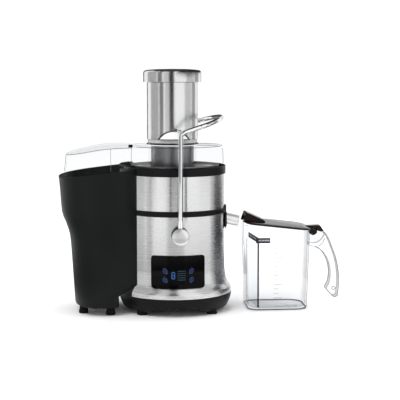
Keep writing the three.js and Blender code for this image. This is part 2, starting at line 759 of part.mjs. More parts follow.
const motorBase = group(
  piece('base_pan', basePan(), BLACK),
  ...Object.entries(FEET).map(([name, [x, y]]) => piece(name, atPlace(foot(), x, y), RUBBER)),
  piece('lower_shell', lowerShell(), STEEL),
  piece('top_deck', topDeck(), BLACK),
  piece('spout_bezel', spoutBezel(), BLACK),
  piece('pivot_boss_front', atPlace(facing(pivotBoss(), 0), PIVOT.x, 0, PIVOT.z), BLACK),
  piece('pivot_boss_rear', atPlace(facing(pivotBoss(), 180), PIVOT.x, 0, PIVOT.z), BLACK),
  piece('cord_gland', cordGland(), RUBBER),
  piece('control_panel', controlPanel(), GLOSS),
  piece('display_module', displayModule(), BLACK),
  piece('control_board', controlBoard(), BOARD),
);

const motor = group(
  piece('motor_stator', motorStator(), IRON),
  piece('motor_bracket_lower', bracketLower(), IRON),
  piece('motor_bracket_upper', bracketUpper(), IRON),
  piece('bearing_lower', bearing(40), IRON),
  piece('bearing_upper', bearing(MOTOR.upper), IRON),
  piece('brush_holder_left', brushHolder(-1), BLACK),
  piece('brush_holder_right', brushHolder(1), BLACK),
  piece('shaft_seal', tube(15.6, MOTOR.clear, Z.deckFloor, 146), RUBBER),
);

const drive = group(
  piece('drive_shaft', disc(MOTOR.shaftR, 34, 189.8, 16), IRON),
  piece('motor_rotor', motorRotor(), IRON),
  piece('commutator', tube(11, MOTOR.clear, 52, 64, 20), COPPER),
  piece('cooling_fan', coolingFan(), BLACK),
  piece('drive_coupling', cut(disc(12, 168, 182.6, 6), disc(MOTOR.clear, 167, 184)), BLACK),
  piece('filter_basket', filterBasket(), STEEL),
  piece('cutting_disc', cuttingDisc(), STEEL),
  piece('basket_nut', basketNut(), BLACK),
);

const bowlAndLid = group(
  piece('bowl_shell', tube(BODY_R, BODY_R - SKIN, Z.bandTop + GAP, Z.shellTop, ROUND), STEEL),
  piece('juice_bowl', juiceBowl(), BLACK),
  piece('bowl_rim_ring', bowlRimRing(), BLACK),
  piece('pulp_lip', pulpLip(), BLACK),
  piece('juice_spout', juiceSpout(), SATIN),
  piece('lid', lid(), CLEAR),
  piece('chute_sleeve', chuteSleeve(), STEEL),
);

const pusher = group(
  piece('pusher_tube', pusherTube(), STEEL),
  piece('pusher_cap', pusherCap(), STEEL),
  piece('pusher_core', pusherCore(), BLACK),
);
pusher.position.x = CHUTE.x;

const arm = group(
  piece('locking_arm', lockingArm(), CHROME),
  piece('arm_knob_front', atPlace(facing(armKnob(), 0), PIVOT.x, 0, PIVOT.z), SATIN),
  piece('arm_knob_rear', atPlace(facing(armKnob(), 180), PIVOT.x, 0, PIVOT.z), SATIN),
);

const buttons = group(
  ...Object.entries(BUTTONS).map(([name, [angle, row]]) => piece(name, button(angle, row), BLUE)),
);

const jugSet = group(
  piece('jug', jug(), CLEAR),
  piece('jug_handle', jugHandle(), CLEAR),
  piece('froth_separator', frothSeparator(), SMOKED),
  piece('jug_lid', jugLid(), SMOKED),
  piece('jug_hinge_pin', jugPin(), SMOKED),
);

const juicer = group(
  motorBase, motor, drive, bowlAndLid, pusher, arm, buttons, jugSet,
  piece('pulp_bin', pulpBin(), BIN_BLACK),
);
juicer.position.x = DRIVE_X;

export default juicer;
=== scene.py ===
"""The looks of a centrifugal juicer with its pulp bin and juice jug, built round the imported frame."""

import json
import math

import bmesh
import bpy
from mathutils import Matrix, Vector


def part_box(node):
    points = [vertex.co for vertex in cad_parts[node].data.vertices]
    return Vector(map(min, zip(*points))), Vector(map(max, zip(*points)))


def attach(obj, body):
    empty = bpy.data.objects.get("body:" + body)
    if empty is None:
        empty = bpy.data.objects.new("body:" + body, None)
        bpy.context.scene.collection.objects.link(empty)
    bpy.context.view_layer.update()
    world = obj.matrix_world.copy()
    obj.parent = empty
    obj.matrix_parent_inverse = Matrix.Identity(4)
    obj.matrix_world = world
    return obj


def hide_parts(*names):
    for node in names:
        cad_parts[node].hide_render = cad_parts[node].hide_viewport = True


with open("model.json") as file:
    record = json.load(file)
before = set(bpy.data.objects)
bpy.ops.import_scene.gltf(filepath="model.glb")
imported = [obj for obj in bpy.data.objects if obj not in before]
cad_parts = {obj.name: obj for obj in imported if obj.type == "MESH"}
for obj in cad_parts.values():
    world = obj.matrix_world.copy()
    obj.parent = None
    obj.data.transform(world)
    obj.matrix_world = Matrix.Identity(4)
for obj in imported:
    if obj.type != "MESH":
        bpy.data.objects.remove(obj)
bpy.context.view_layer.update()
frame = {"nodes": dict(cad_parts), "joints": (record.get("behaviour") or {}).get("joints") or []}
MM = 0.001
JOINTS = {j["name"]: j for j in frame["joints"]}
AXIS = Vector(JOINTS["drive_spin"]["pos_m"])  # the drive axis; drawings below are in mm about it
PIVOT = (Vector(JOINTS["arm_swing"]["pos_m"]) - Vector((AXIS.x, 0, 0))) / MM
JUG_PIN = (Vector(JOINTS["jug_lid_hinge"]["pos_m"]) - Vector((AXIS.x, 0, 0))) / MM


def extent(node, axis):
    """A node's lowest and highest value along an axis, in mm about the drive axis."""
    low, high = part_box(node)
    shift = AXIS.x if axis == 0 else 0.0
    return (low[axis] - shift) / MM, (high[axis] - shift) / MM


def top(node):
    return extent(node, 2)[1]


def foot(node):
    return extent(node, 2)[0]


# ---------- mesh helpers, in mm about the drive axis ----------


def to_row(p):
    return Vector((p[0] * MM + AXIS.x, p[1] * MM, p[2] * MM))


def make(name, points, faces, sharp=35):
    mesh = bpy.data.meshes.new(name)
    mesh.from_pydata([to_row(p) for p in points], [], faces)
    shaped = bmesh.new()
    shaped.from_mesh(mesh)
    bmesh.ops.recalc_face_normals(shaped, faces=shaped.faces)
    shaped.to_mesh(mesh)
    shaped.free()
    mesh.shade_smooth()
    mesh.set_sharp_from_angle(angle=math.radians(sharp))
    obj = bpy.data.objects.new(name, mesh)
    bpy.context.scene.collection.objects.link(obj)
    return obj


def lathe_data(profile, segments, place):
    """Points and faces of a closed profile of (radius, height) turned about an axis through place()."""
    points, faces, rings = [], [], []
    for r, h in profile:
        if r < 1e-6:
            rings.append([len(points)] * segments)
            points.append(place(0, 0, h))
            continue
        rings.append(list(range(len(points), len(points) + segments)))
        for i in range(segments):
            a = 2 * math.pi * i / segments
            points.append(place(r * math.cos(a), r * math.sin(a), h))
    for k, low in enumerate(rings):
        high = rings[(k + 1) % len(rings)]
        if low[0] == low[1] and high[0] == high[1]:
            continue
        for i in range(segments):
            j = (i + 1) % segments
            corners = [low[i], low[j], high[j], high[i]]
            face = [c for n, c in enumerate(corners) if c not in corners[:n]]
            if len(face) > 2:
                faces.append(face)
    return points, faces


def lathe(name, profile, segments=128, place=lambda x, y, z: (x, y, z), sharp=35):
    return make(name, *lathe_data(profile, segments, place), sharp)


def outward(degrees, z, x=0.0):
    """Places a lathe along a horizontal radius, turned by degrees from the front."""
    a = math.radians(degrees)
    return lambda u, v, h: (x + u * math.cos(a) + h * math.sin(a), u * math.sin(a) - h * math.cos(a), z + v)


def loft(name, rings, sharp=35):
    """A closed solid through rings of points with the same count."""
    count = len(rings[0])
    points = [p for ring in rings for p in ring]
    faces = []
    for level in range(len(rings) - 1):
        for i in range(count):
            a, b = level * count + i, level * count + (i + 1) % count
            faces.append([a, b, b + count, a + count])
    faces.append(list(range(count))[::-1])
    faces.append(list(range(len(points) - count, len(points))))
    return make(name, points, faces, sharp)


def slab(name, outline, y0, y1, sharp=35):
    """A flat outline in X and Z pushed along Y."""
    return loft(name, [[(x, y0, z) for x, z in outline], [(x, y1, z) for x, z in outline]], sharp)


def block(name, low, high):
    (x0, y0, z0), (x1, y1, z1) = low, high
    return loft(name, [[(x0, y0, z), (x1, y0, z), (x1, y1, z), (x0, y1, z)] for z in (z0, z1)])


def smooth_line(points, steps):
    """Catmull-Rom points through a line, ends kept."""
    line = [Vector(p) for p in points]
    line = [2 * line[0] - line[1]] + line + [2 * line[-1] - line[-2]]
    result = []
    for a, b, c, d in zip(line, line[1:], line[2:], line[3:]):
        for i in range(steps):
            t = i / steps
            result.append(0.5 * (2 * b + (c - a) * t + (2 * a - 5 * b + 4 * c - d) * t ** 2
                                 + (3 * b - a - 3 * c + d) * t ** 3))
    return result + [line[-2]]


def sweep(name, line, radius, sides=24):
    """A round rod along a line of points."""
    rings, up = [], Vector((1, 0, 0))
    for i, p in enumerate(line):
        ahead = line[min(i + 1, len(line) - 1)] - line[max(i - 1, 0)]
        ahead.normalize()
        up = (up - ahead * up.dot(ahead)).normalized()
        side = ahead.cross(up)
        rings.append([p + radius * (up * math.cos(2 * math.pi * k / sides)
                                    + side * math.sin(2 * math.pi * k / sides))
                      for k in range(sides)])
    return loft(name, rings)


def combine(obj, others, operation):
    """Cuts the others from obj, or joins them to it, and drops them."""
    for other in others:
        step = obj.modifiers.new(operation.lower(), "BOOLEAN")
        step.operation = operation
        step.solver = "EXACT"
        step.object = other
    bpy.context.view_layer.update()
    result = bpy.data.meshes.new_from_object(obj.evaluated_get(bpy.context.evaluated_depsgraph_get()))
    obj.modifiers.clear()
    obj.data = result
    for other in others:
        bpy.data.objects.remove(other)
    result.shade_smooth()
    result.set_sharp_from_angle(angle=math.radians(35))
    return obj


def cut(obj, *others):
    return combine(obj, others, "DIFFERENCE")


def join(obj, *others):
    return combine(obj, others, "UNION")


def bake(obj):
    """Applies the modifiers set so far."""
    return combine(obj, (), "UNION")


def soften(obj, width, segments=3):
    """Rounds the sharp edges by width mm."""
    edge = obj.modifiers.new("soft_edges", "BEVEL")
    edge.width = width * MM
    edge.segments = segments
    edge.limit_method = "ANGLE"
    edge.angle_limit = math.radians(40)
    edge.harden_normals = True
    return obj


def finish_piece(obj, body, look, stands_for=(), edge=None):
    if edge:
        soften(obj, edge)
    obj.data.materials.clear()
    obj.data.materials.append(look)
    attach(obj, body)
    if stands_for:
        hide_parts(*stands_for)
    return obj


# ---------- materials ----------


def surface(name, color, roughness, metallic=0.0, **extra):
    look = bpy.data.materials.new(name)
    look.use_nodes = True
    shader = look.node_tree.nodes["Principled BSDF"]
    shader.inputs["Base Color"].default_value = (*color, 1)
    shader.inputs["Roughness"].default_value = roughness
    shader.inputs["Metallic"].default_value = metallic
    for key, value in extra.items():
        shader.inputs[key.replace("_", " ")].default_value = value
    return look


def noise(look, scale, detail, stretch=(1, 1, 1)):
    """A noise over the object's own coordinates. Returns its factor socket."""
    tree = look.node_tree
    place = tree.nodes.new("ShaderNodeTexCoord")
    mapping = tree.nodes.new("ShaderNodeMapping")
    mapping.inputs["Scale"].default_value = stretch
    field = tree.nodes.new("ShaderNodeTexNoise")
    field.inputs["Scale"].default_value = scale
    field.inputs["Detail"].default_value = detail
    tree.links.new(place.outputs["Object"], mapping.inputs["Vector"])
    tree.links.new(mapping.outputs["Vector"], field.inputs["Vector"])
    return field.outputs["Fac"]


def spread(look, source, low, high):
    """The source from 0.3 to 0.7 spread over low to high."""
    stretch = look.node_tree.nodes.new("ShaderNodeMapRange")
    stretch.inputs["From Min"].default_value = 0.3
    stretch.inputs["From Max"].default_value = 0.7
    stretch.inputs["To Min"].default_value = low
    stretch.inputs["To Max"].default_value = high
    look.node_tree.links.new(source, stretch.inputs["Value"])
    return stretch.outputs["Result"]


def vary_roughness(look, source, low, high):
    shader = look.node_tree.nodes["Principled BSDF"]
    look.node_tree.links.new(spread(look, source, low, high), shader.inputs["Roughness"])


def vary_color(look, source, dark, light):
    tree = look.node_tree
    ramp = tree.nodes.new("ShaderNodeValToRGB")
    ramp.color_ramp.elements[0].position = 0.3
    ramp.color_ramp.elements[1].position = 0.7
    ramp.color_ramp.elements[0].color = (*dark, 1)
    ramp.color_ramp.elements[1].color = (*light, 1)
    tree.links.new(source, ramp.inputs["Fac"])
    tree.links.new(ramp.outputs["Color"], tree.nodes["Principled BSDF"].inputs["Base Color"])


def raise_surface(look, source, strength, depth):
    tree = look.node_tree
    bump = tree.nodes.new("ShaderNodeBump")
    bump.inputs["Strength"].default_value = strength
    bump.inputs["Distance"].default_value = depth * MM
    tree.links.new(source, bump.inputs["Height"])
    tree.links.new(bump.outputs["Normal"], tree.nodes["Principled BSDF"].inputs["Normal"])


def moulded(name, color, roughness, grain=1400, strength=0.25, shine=0.16):
    """Moulded plastic: a fine spark-eroded grain and a slow change of gloss."""
    look = surface(name, color, roughness, Specular_IOR_Level=shine)
    raise_surface(look, noise(look, grain, 2), strength, 0.05)
    vary_roughness(look, noise(look, 18, 3), roughness - 0.05, roughness + 0.07)
    vary_color(look, noise(look, 9, 2), [c * 0.86 for c in color], [c * 1.12 for c in color])
    return look


def brushed(name, color, roughness, stretch=(5, 5, 2200), anisotropic=0.6):
    """Brushed sheet: long hair lines round the part, which spread what it mirrors up and down."""
    look = surface(name, color, roughness, 1.0, Anisotropic=anisotropic, Anisotropic_Rotation=0.25)
    lines = noise(look, 1.0, 3, stretch)
    vary_roughness(look, lines, roughness - 0.01, roughness + 0.02)
    vary_color(look, lines, [c * 0.98 for c in color], [min(1, c * 1.015) for c in color])
    raise_surface(look, lines, 0.0004, 0.02)
    tangent = look.node_tree.nodes.new("ShaderNodeTangent")
    tangent.direction_type = "RADIAL"
    tangent.axis = "Z"
    shader = look.node_tree.nodes["Principled BSDF"]
    look.node_tree.links.new(tangent.outputs["Tangent"], shader.inputs["Tangent"])
    return look


def clear(name, tint, edge_tint, low, high, power=3.0, gloss=0.06):
    """Thin clear plastic: see-through face on, darker and shinier along its edges."""
    look = bpy.data.materials.new(name)
    look.use_nodes = True
    tree = look.node_tree
    shader = tree.nodes["Principled BSDF"]
    shader.inputs["Base Color"].default_value = (*edge_tint, 1)
    shader.inputs["Roughness"].default_value = gloss
    shader.inputs["IOR"].default_value = 1.49
    shader.inputs["Specular IOR Level"].default_value = 0.12
    see = tree.nodes.new("ShaderNodeBsdfTransparent")
    see.inputs["Color"].default_value = (*tint, 1)
    facing = tree.nodes.new("ShaderNodeLayerWeight")
    facing.inputs["Blend"].default_value = 0.5
    curve = tree.nodes.new("ShaderNodeMath")
    curve.operation = "POWER"
    curve.inputs[1].default_value = power
    shape = tree.nodes.new("ShaderNodeMapRange")
    shape.inputs["To Min"].default_value = low
    shape.inputs["To Max"].default_value = high
    mix = tree.nodes.new("ShaderNodeMixShader")
    tree.links.new(facing.outputs["Facing"], curve.inputs[0])
    tree.links.new(curve.outputs["Value"], shape.inputs["Value"])
    tree.links.new(shape.outputs["Result"], mix.inputs["Fac"])
    tree.links.new(see.outputs["BSDF"], mix.inputs[1])
    tree.links.new(shader.outputs["BSDF"], mix.inputs[2])
    tree.links.new(mix.outputs["Shader"], tree.nodes["Material Output"].inputs["Surface"])
    raise_surface(look, noise(look, 26, 2), 0.05, 0.2)
    return look


def glowing(name, color, strength):
    look = surface(name, color, 0.3)
    shader = look.node_tree.nodes["Principled BSDF"]
    shader.inputs["Emission Color"].default_value = (*color, 1)
    shader.inputs["Emission Strength"].default_value = strength
    vary_color(look, noise(look, 300, 2), [c * 0.8 for c in color], color)
    return look


STEEL = brushed("steel_body", (0.72, 0.72, 0.725), 0.26)
STEEL_CHUTE = brushed("steel_chute", (0.76, 0.76, 0.765), 0.21, anisotropic=0.5)
BARREL = brushed("steel_barrel", (0.3, 0.3, 0.31), 0.3, stretch=(900, 900, 6), anisotropic=0.2)
STEEL_PLAIN = brushed("steel_parts", (0.6, 0.6, 0.605), 0.24, anisotropic=0.3)
SATIN = brushed("satin_turned", (0.86, 0.86, 0.865), 0.34, stretch=(60, 60, 60), anisotropic=0.2)
CHROME = surface("chrome_rod", (0.86, 0.87, 0.88), 0.07, 1.0)
vary_roughness(CHROME, noise(CHROME, 60, 3), 0.04, 0.11)
BLACK = moulded("black_plastic", (0.005, 0.005, 0.0054), 0.36, shine=0.12)
BIN = moulded("bin_plastic", (0.0062, 0.0074, 0.0071), 0.42, grain=1100, strength=0.35, shine=0.12)
RUBBER = moulded("rubber", (0.008, 0.008, 0.008), 0.8, grain=700, strength=0.5, shine=0.1)
PANEL = surface("piano_black", (0.0015, 0.0015, 0.0018), 0.08, Specular_IOR_Level=0.07)
vary_roughness(PANEL, noise(PANEL, 40, 4), 0.05, 0.13)
IRON = moulded("motor_iron", (0.12, 0.12, 0.125), 0.45)
IRON.node_tree.nodes["Principled BSDF"].inputs["Metallic"].default_value = 0.9
COPPER = brushed("copper_bars", (0.6, 0.26, 0.12), 0.3)
BOARD = moulded("board_green", (0.01, 0.09, 0.035), 0.5)
SMOKED = moulded("smoked_plastic", (0.0075, 0.0022, 0.002), 0.12, grain=220, strength=0.03, shine=0.13)
CLEAR_LID = clear("clear_lid", (0.985, 0.987, 0.989), (0.1, 0.103, 0.108), 0.014, 0.9, 36.0)
CLEAR_JUG = clear("clear_jug", (0.983, 0.987, 0.992), (0.07, 0.073, 0.08), 0.005, 0.95, 8.0)
CLEAR_GRIP = clear("clear_grip", (0.95, 0.955, 0.96), (0.16, 0.165, 0.17), 0.01, 0.8, 2.0)
CLEAR_BLADE = clear("clear_blade", (0.975, 0.98, 0.99), (0.3, 0.3, 0.3), 0.0, 0.1, 4.0)
MOON = clear("frosted_lug", (0.95, 0.95, 0.95), (0.93, 0.93, 0.93), 0.9, 1.0, 1.6, 0.3)
EDGE = clear("clear_edge", (0.62, 0.64, 0.66), (0.09, 0.093, 0.098), 0.3, 0.75, 1.4)
EDGE_FINE = clear("clear_edge_fine", (0.8, 0.81, 0.83), (0.22, 0.225, 0.23), 0.3, 0.6, 1.4)
EDGE_FAINT = clear("clear_edge_faint", (0.93, 0.935, 0.94), (0.5, 0.505, 0.51), 0.12, 0.25, 1.4)
FROST = clear("frosted_foot", (0.85, 0.85, 0.86), (0.7, 0.7, 0.71), 0.6, 0.8, 1.6, 0.3)
GREY_CLEAR = clear("grey_clear", (0.6, 0.62, 0.64), (0.1, 0.1, 0.1), 0.05, 0.5)
FAINT = clear("printed_grey", (0.8, 0.8, 0.82), (0.6, 0.6, 0.62), 0.12, 0.2)
BLUE = glowing("blue_key", (0.009, 0.042, 0.16), 0.13)
DIGIT = glowing("blue_digit", (0.012, 0.085, 0.28), 0.3)
TEAL = glowing("teal_bars", (0.004, 0.04, 0.06), 0.12)

# ---------- motor base ----------

BODY_R = extent("bowl_shell", 0)[1]
BAND_R = extent("bowl_rim_ring", 0)[1]
FLARE = extent("base_pan", 0)[1]
steel_foot, steel_top = extent("lower_shell", 2)
pan_foot = foot("base_pan")


def base_pan():
    pan = lathe("base_skirt", [
        (0, 15.5), (83, 15.5), (83, pan_foot), (86, pan_foot), (88.6, 8), (91, 12.4), (93.4, 18), (95, 23),
        (FLARE, 27), (FLARE, steel_foot - 0.35), (91.5, steel_foot - 0.35), (88, 19), (0, 19),
    ], 160)
    arch = [(-49, 3), (49, 3), (44, 7.6), (38, 11.6), (32, 14), (26, 15), (-26, 15), (-32, 14), (-38, 11.6),
            (-44, 7.6)]
    vents = [lathe(f"vent_{i}", [(0, 14), (3.4, 14), (3.4, 20), (0, 20)], 12,
                   lambda x, y, z, i=i: ((34 + 6 * (i % 5)) * math.cos(i * 0.628) + x,
                                         (34 + 6 * (i % 5)) * math.sin(i * 0.628) + y,
                                         z)) for i in range(10)]
    cut(pan, slab("arch_front", arch, -100, -58), slab("arch_rear", arch, 58, 100), *vents)
    return finish_piece(pan, "body", BLACK, ["base_pan"], 0.5)


base_pan()

for name in ("foot_front_left", "foot_front_right", "foot_rear_left", "foot_rear_right"):
    x, y = (sum(extent(name, axis)) / 2 for axis in (0, 1))
    pad_top = top(name)
    pad = lathe(f"{name}_pad", [
        (0, 0.5), (5, 0.5), (5.6, 0), (8.1, 0), (9, 0.9), (9, 3.4), (8.2, 4.4), (7.6, pad_top),
        (0, pad_top),
    ], 48, lambda u, v, h, x=x, y=y: (x + u, y + v, h))
    finish_piece(pad, "body", RUBBER, [name])
    boss = lathe(f"{name}_boss", [(0, pad_top + 0.35), (9.5, pad_top + 0.35), (9.5, 15.3), (0, 15.3)], 40,
                 lambda u, v, h, x=x, y=y: (x + u, y + v, h))
    finish_piece(boss, "body", BLACK, (), 0.6)

shell = lathe("motor_sleeve", [
    (FLARE - 0.2, steel_foot), (FLARE - 0.1, 33.5), (FLARE - 0.6, 36.2), (94.6, 38.6), (93.1, 41.1),
    (91, 43.7), (89.2, 46.2),
    (87.9, 49), (86.9, 52), (86, 56), (85.4, 60), (84.6, 66), (84.1, 71), (BODY_R, 75), (BODY_R, steel_top),
    (BODY_R - 1.4, steel_top), (BODY_R - 1.4, 74), (83.8, 60), (85.2, 52), (88.4, 45), (91.6, 41),
    (93.8, 36), (93.8, steel_foot),
], 192)
cut(shell, block("notch", (60, -12.6, 140.8), (100, 12.6, 180)))
finish_piece(shell, "body", STEEL, ["lower_shell"], 0.35)
finish_piece(lathe("bowl_sleeve", [
    (BODY_R, foot("bowl_shell")), (BODY_R, top("bowl_shell")), (BODY_R - 1.4, top("bowl_shell")),
    (BODY_R - 1.4, foot("bowl_shell")),
], 192), "body", STEEL, ["bowl_shell"], 0.3)

# a black strip on the flare where the bin docks: painted reflection and shade of the bin, whose own shell
# is hidden from the steel's mirror; a guess, as the photo may show the bin mirrored
flare = [(FLARE - 0.2, 31.2), (FLARE - 0.1, 33.5), (FLARE - 0.6, 36.2), (94.6, 38.6), (93.1, 41.1),
         (91, 43.7), (89.2, 46.2), (87.9, 49)]
section = [(r + 0.1, z) for r, z in flare] + [(r + 0.9, z) for r, z in reversed(flare)]
strip = loft("bin_reflection_strip", [[(r * math.sin(a), -r * math.cos(a), z) for r, z in section]
                                for a in (math.radians(-53 - 4 * i) for i in range(25))])
finish_piece(strip, "body", BLACK)

band_low, band_high = steel_top + 0.35, top("top_deck")
deck = lathe("motor_deck", [
    (16, 142.5), (82, 142.5), (82, band_low), (BAND_R - 0.8, band_low), (BAND_R, band_low + 0.8),
    (BAND_R, band_high - 0.8), (BAND_R - 0.8, band_high), (79, band_high), (79, 146), (16, 146),
], 160)
cut(deck, block("notch", (66, -12.6, 140.8), (84, 12.6, 165.9)))
finish_piece(deck, "body", BLACK, ["top_deck"], 0.25)

ring_low, ring_high = extent("bowl_rim_ring", 2)
finish_piece(lathe("bowl_clamp_ring", [
    (79.2, ring_low), (BAND_R - 0.7, ring_low), (BAND_R, ring_low + 0.9), (BAND_R, ring_high - 1.2),
    (BAND_R - 0.9, ring_high), (84.1, ring_high), (84.1, 242.5), (79.2, 242.5),
], 160), "body", BLACK, ["bowl_rim_ring"])


def rounded_outline(half_wide, half_high, r, steps=8):
    points = []
    for cx, cz, start in ((half_wide - r, -half_high + r, -90), (half_wide - r, half_high - r, 0),
                          (-half_wide + r, half_high - r, 90), (-half_wide + r, -half_high + r, 180)):
        for i in range(steps + 1):
            a = math.radians(start + 90 * i / steps)
            points.append((cx + r * math.cos(a), cz + r * math.sin(a)))
    return points


# the spout, its bezel and the pivots
SLOPE = math.radians(12)
TIP = (108.3, 149.2)


def along_spout(u, v, h):
    """Up the spout from its tip towards the bowl."""
    return (TIP[0] - h * math.cos(SLOPE) + u * math.sin(SLOPE), v,
            TIP[1] + h * math.sin(SLOPE) + u * math.cos(SLOPE))


plate_low, plate_high = extent("spout_bezel", 2)
plate = block("bezel_block", (60, -20, plate_low), (100, 20, plate_high))
soften(plate, 5, 6)
bake(plate)
drum = lathe("spout_bezel_plate", [
    (BAND_R + 0.4, plate_low), (BAND_R + 1.4, plate_low), (BAND_R + 1.4, plate_high),
    (BAND_R + 0.4, plate_high)], 200)
combine(drum, [plate], "INTERSECT")
collar = block("bezel_collar", (82.8, -12.2, 141.2), (87.5, 12.2, 165.4))
hole = lathe("bezel_hole", [(0, 0), (10.35, 0), (10.35, 40), (0, 40)], 64, along_spout)
join(drum, collar)
cut(drum, hole)
finish_piece(drum, "body", BLACK, ["spout_bezel"], 0.5)
finish_piece(lathe("spout_pipe", [
    (9.3, 0), (10, 0.7), (10, 27.8), (8, 27.8), (8, 0.8), (8.6, 0),
], 72, along_spout), "body", SATIN, ["juice_spout"])

for side, degrees in (("front", 0), ("rear", 180)):
    finish_piece(lathe(f"arm_bearing_{side}", [
        (4.35, 74), (5.6, 74), (5.6, 84.7), (13.2, 84.7), (14, 85.6), (14, 94.2), (13.4, 95.6),
        (11.8, 96.5), (8.6, 96.8), (4.35, 96.8),
    ], 64, outward(degrees, PIVOT.z, PIVOT.x)), "body", BLACK, [f"pivot_boss_{side}"])

gland_x, gland_z = (sum(extent("cord_gland", axis)) / 2 for axis in (0, 2))
gland_face = extent("cord_gland", 1)[1]
ribs = [p for i in range(4) for p in ((4.0, 89.2 + 1.9 * i), (5.1, 89.6 + 1.9 * i), (5.1, 90.5 + 1.9 * i),
                                      (4.0, 90.9 + 1.9 * i))]
finish_piece(lathe("cord_outlet", [
    (3, 72), (5.2, 72), (5.2, 85), (8.2, 85), (8.2, 87.4), (7.4, 88), (5.2, 88), *ribs, (4.2, gland_face),
    (3, gland_face),
], 48, outward(180, gland_z, gland_x)), "body", RUBBER, ["cord_gland"])

# ---------- control panel ----------

PANEL_BACK = [(84.4, 102.5), (84.4, 90), (84.4, 74.4), (84.9, 67), (85.8, 60.3), (86.5, 56), (87.4, 51.7),
              (88.65, 48.5)]


def panel_radius(z):
    """The radius of the panel's back at a height, following the flare of the steel."""
    for (r1, z1), (r0, z0) in zip(PANEL_BACK, PANEL_BACK[1:]):
        if z0 <= z <= z1:
            return r0 + (r1 - r0) * (z - z0) / (z1 - z0)
    return PANEL_BACK[0][0]


def on_panel(x, z, lift):
    r = panel_radius(z) + lift
    return (x, -math.sqrt(r * r - x * x), z)


def panel_sheet(name, outline, back, front, mid_z):
    """A sheet with that outline of (x, z - mid_z), laid over the panel's curve between two lifts."""
    mesh = bmesh.new()
    flat = [mesh.verts.new((x, 0, mid_z + h)) for x, h in outline]
    mesh.faces.new(flat)
    for axis, count in ((0, 28), (2, 14)):
        a, b = (min(v.co[axis] for v in mesh.verts), max(v.co[axis] for v in mesh.verts))
        for i in range(1, count):
            place, normal = [0, 0, 0], [0, 0, 0]
            place[axis], normal[axis] = a + (b - a) * i / count, 1
            bmesh.ops.bisect_plane(mesh, geom=mesh.verts[:] + mesh.edges[:] + mesh.faces[:], dist=1e-5,
                                   plane_co=place, plane_no=normal)
    mesh.verts.index_update()
    points = [on_panel(v.co.x, v.co.z, back) for v in mesh.verts]
    count = len(points)
    points += [on_panel(v.co.x, v.co.z, front) for v in mesh.verts]
    faces = [[v.index for v in f.verts] for f in mesh.faces]
    shell_faces = faces + [[c + count for c in f][::-1] for f in faces]
    for edge in mesh.edges:
        if len(edge.link_faces) == 1:
            a, b = (v.index for v in edge.verts)
            shell_faces.append([a, b, b + count, a + count])
    mesh.free()
    return make(name, points, shell_faces)


panel_low, panel_high = extent("control_panel", 2)
panel_mid = (panel_low + panel_high) / 2
half_wide = extent("control_panel", 0)[1]
face = panel_sheet("panel_glass", rounded_outline(half_wide, (panel_high - panel_low) / 2, 5), 0, 1.8,
                   panel_mid)
KEYS = {}
for name in ("button_upper_left", "button_upper_right", "button_lower_left", "button_lower_right"):
    side = -1 if name.endswith("left") else 1
    z = sum(extent(name, 2)) / 2
    KEYS[name] = (side * 14.4, z, 86.9 if "upper" in name else 88.0)
cut(face, *(lathe(f"well_{name}", [(0, 80), (5.25, 80), (5.25, 92), (0, 92)], 40, outward(angle, z))
            for name, (angle, z, _) in KEYS.items()))
finish_piece(face, "body", PANEL, ["control_panel"], 0.3)

for name, (angle, z, front) in KEYS.items():
    cap = lathe(f"{name}_cap", [
        (0, 79.5), (4.9, 79.5), (4.9, front - 0.8), (4.7, front - 0.3), (4.4, front - 0.05), (4.1, front),
        (3.9, front - 0.25), (0, front - 0.25),
    ], 48, outward(angle, z))
    finish_piece(cap, name, PANEL, [name])
    mark = lathe(f"{name}_light", [
        (2.7, front - 0.24), (3.8, front - 0.24), (3.8, front - 0.06), (2.7, front - 0.06)], 40,
        outward(angle, z))
    finish_piece(mark, name, BLUE)
    bar = lathe(f"{name}_mark", [(0, front - 0.24), (1.2, front - 0.24), (1.2, front - 0.06),
                                 (0, front - 0.06)], 24, outward(angle, z))
    finish_piece(bar, name, BLUE)

# a plain seven-bar figure and five level bars
DIGIT_X, DIGIT_Z = -8.4, 70


def lit_bar(name, outline, front, look):
    finish_piece(panel_sheet(name, outline, 1.82, front, DIGIT_Z), "body", look)


for level in (-1, 0, 1):
    z = 5.2 * level
    lit_bar(f"figure_bar_{level + 1}", [
        (DIGIT_X - 1.7, z - 0.7), (DIGIT_X + 1.7, z - 0.7), (DIGIT_X + 2.2, z),
        (DIGIT_X + 1.7, z + 0.7), (DIGIT_X - 1.7, z + 0.7), (DIGIT_X - 2.2, z),
    ], 1.95, DIGIT)
for side in (-1, 1):
    for level in (-1, 1):
        x, z = DIGIT_X + 2.4 * side, 2.6 * level
        lit_bar(f"figure_side_{side + 1}{level + 1}", [
            (x - 0.7, z - 1.7), (x, z - 2.3), (x + 0.7, z - 1.7),
            (x + 0.7, z + 1.7), (x, z + 2.3), (x - 0.7, z + 1.7),
        ], 1.95, DIGIT)
for i in range(5):
    z = 7.2 - 3.6 * i
    lit_bar(f"level_bar_{i}", [(-1.5, z - 0.5), (12, z - 0.5), (12, z + 0.5), (-1.5, z + 0.5)], 1.93, TEAL)

# ---------- bowl, basket and drive ----------

finish_piece(lathe("bowl_inner", [
    (20, 146.5), (74, 146.5), (77.2, 149), (78.4, 152), (78.4, 242), (76, 242), (76, 154), (72, 149.5),
    (22.5, 149.5), (22.5, 165), (20, 165),
], 128), "body", BLACK, ["juice_bowl"])

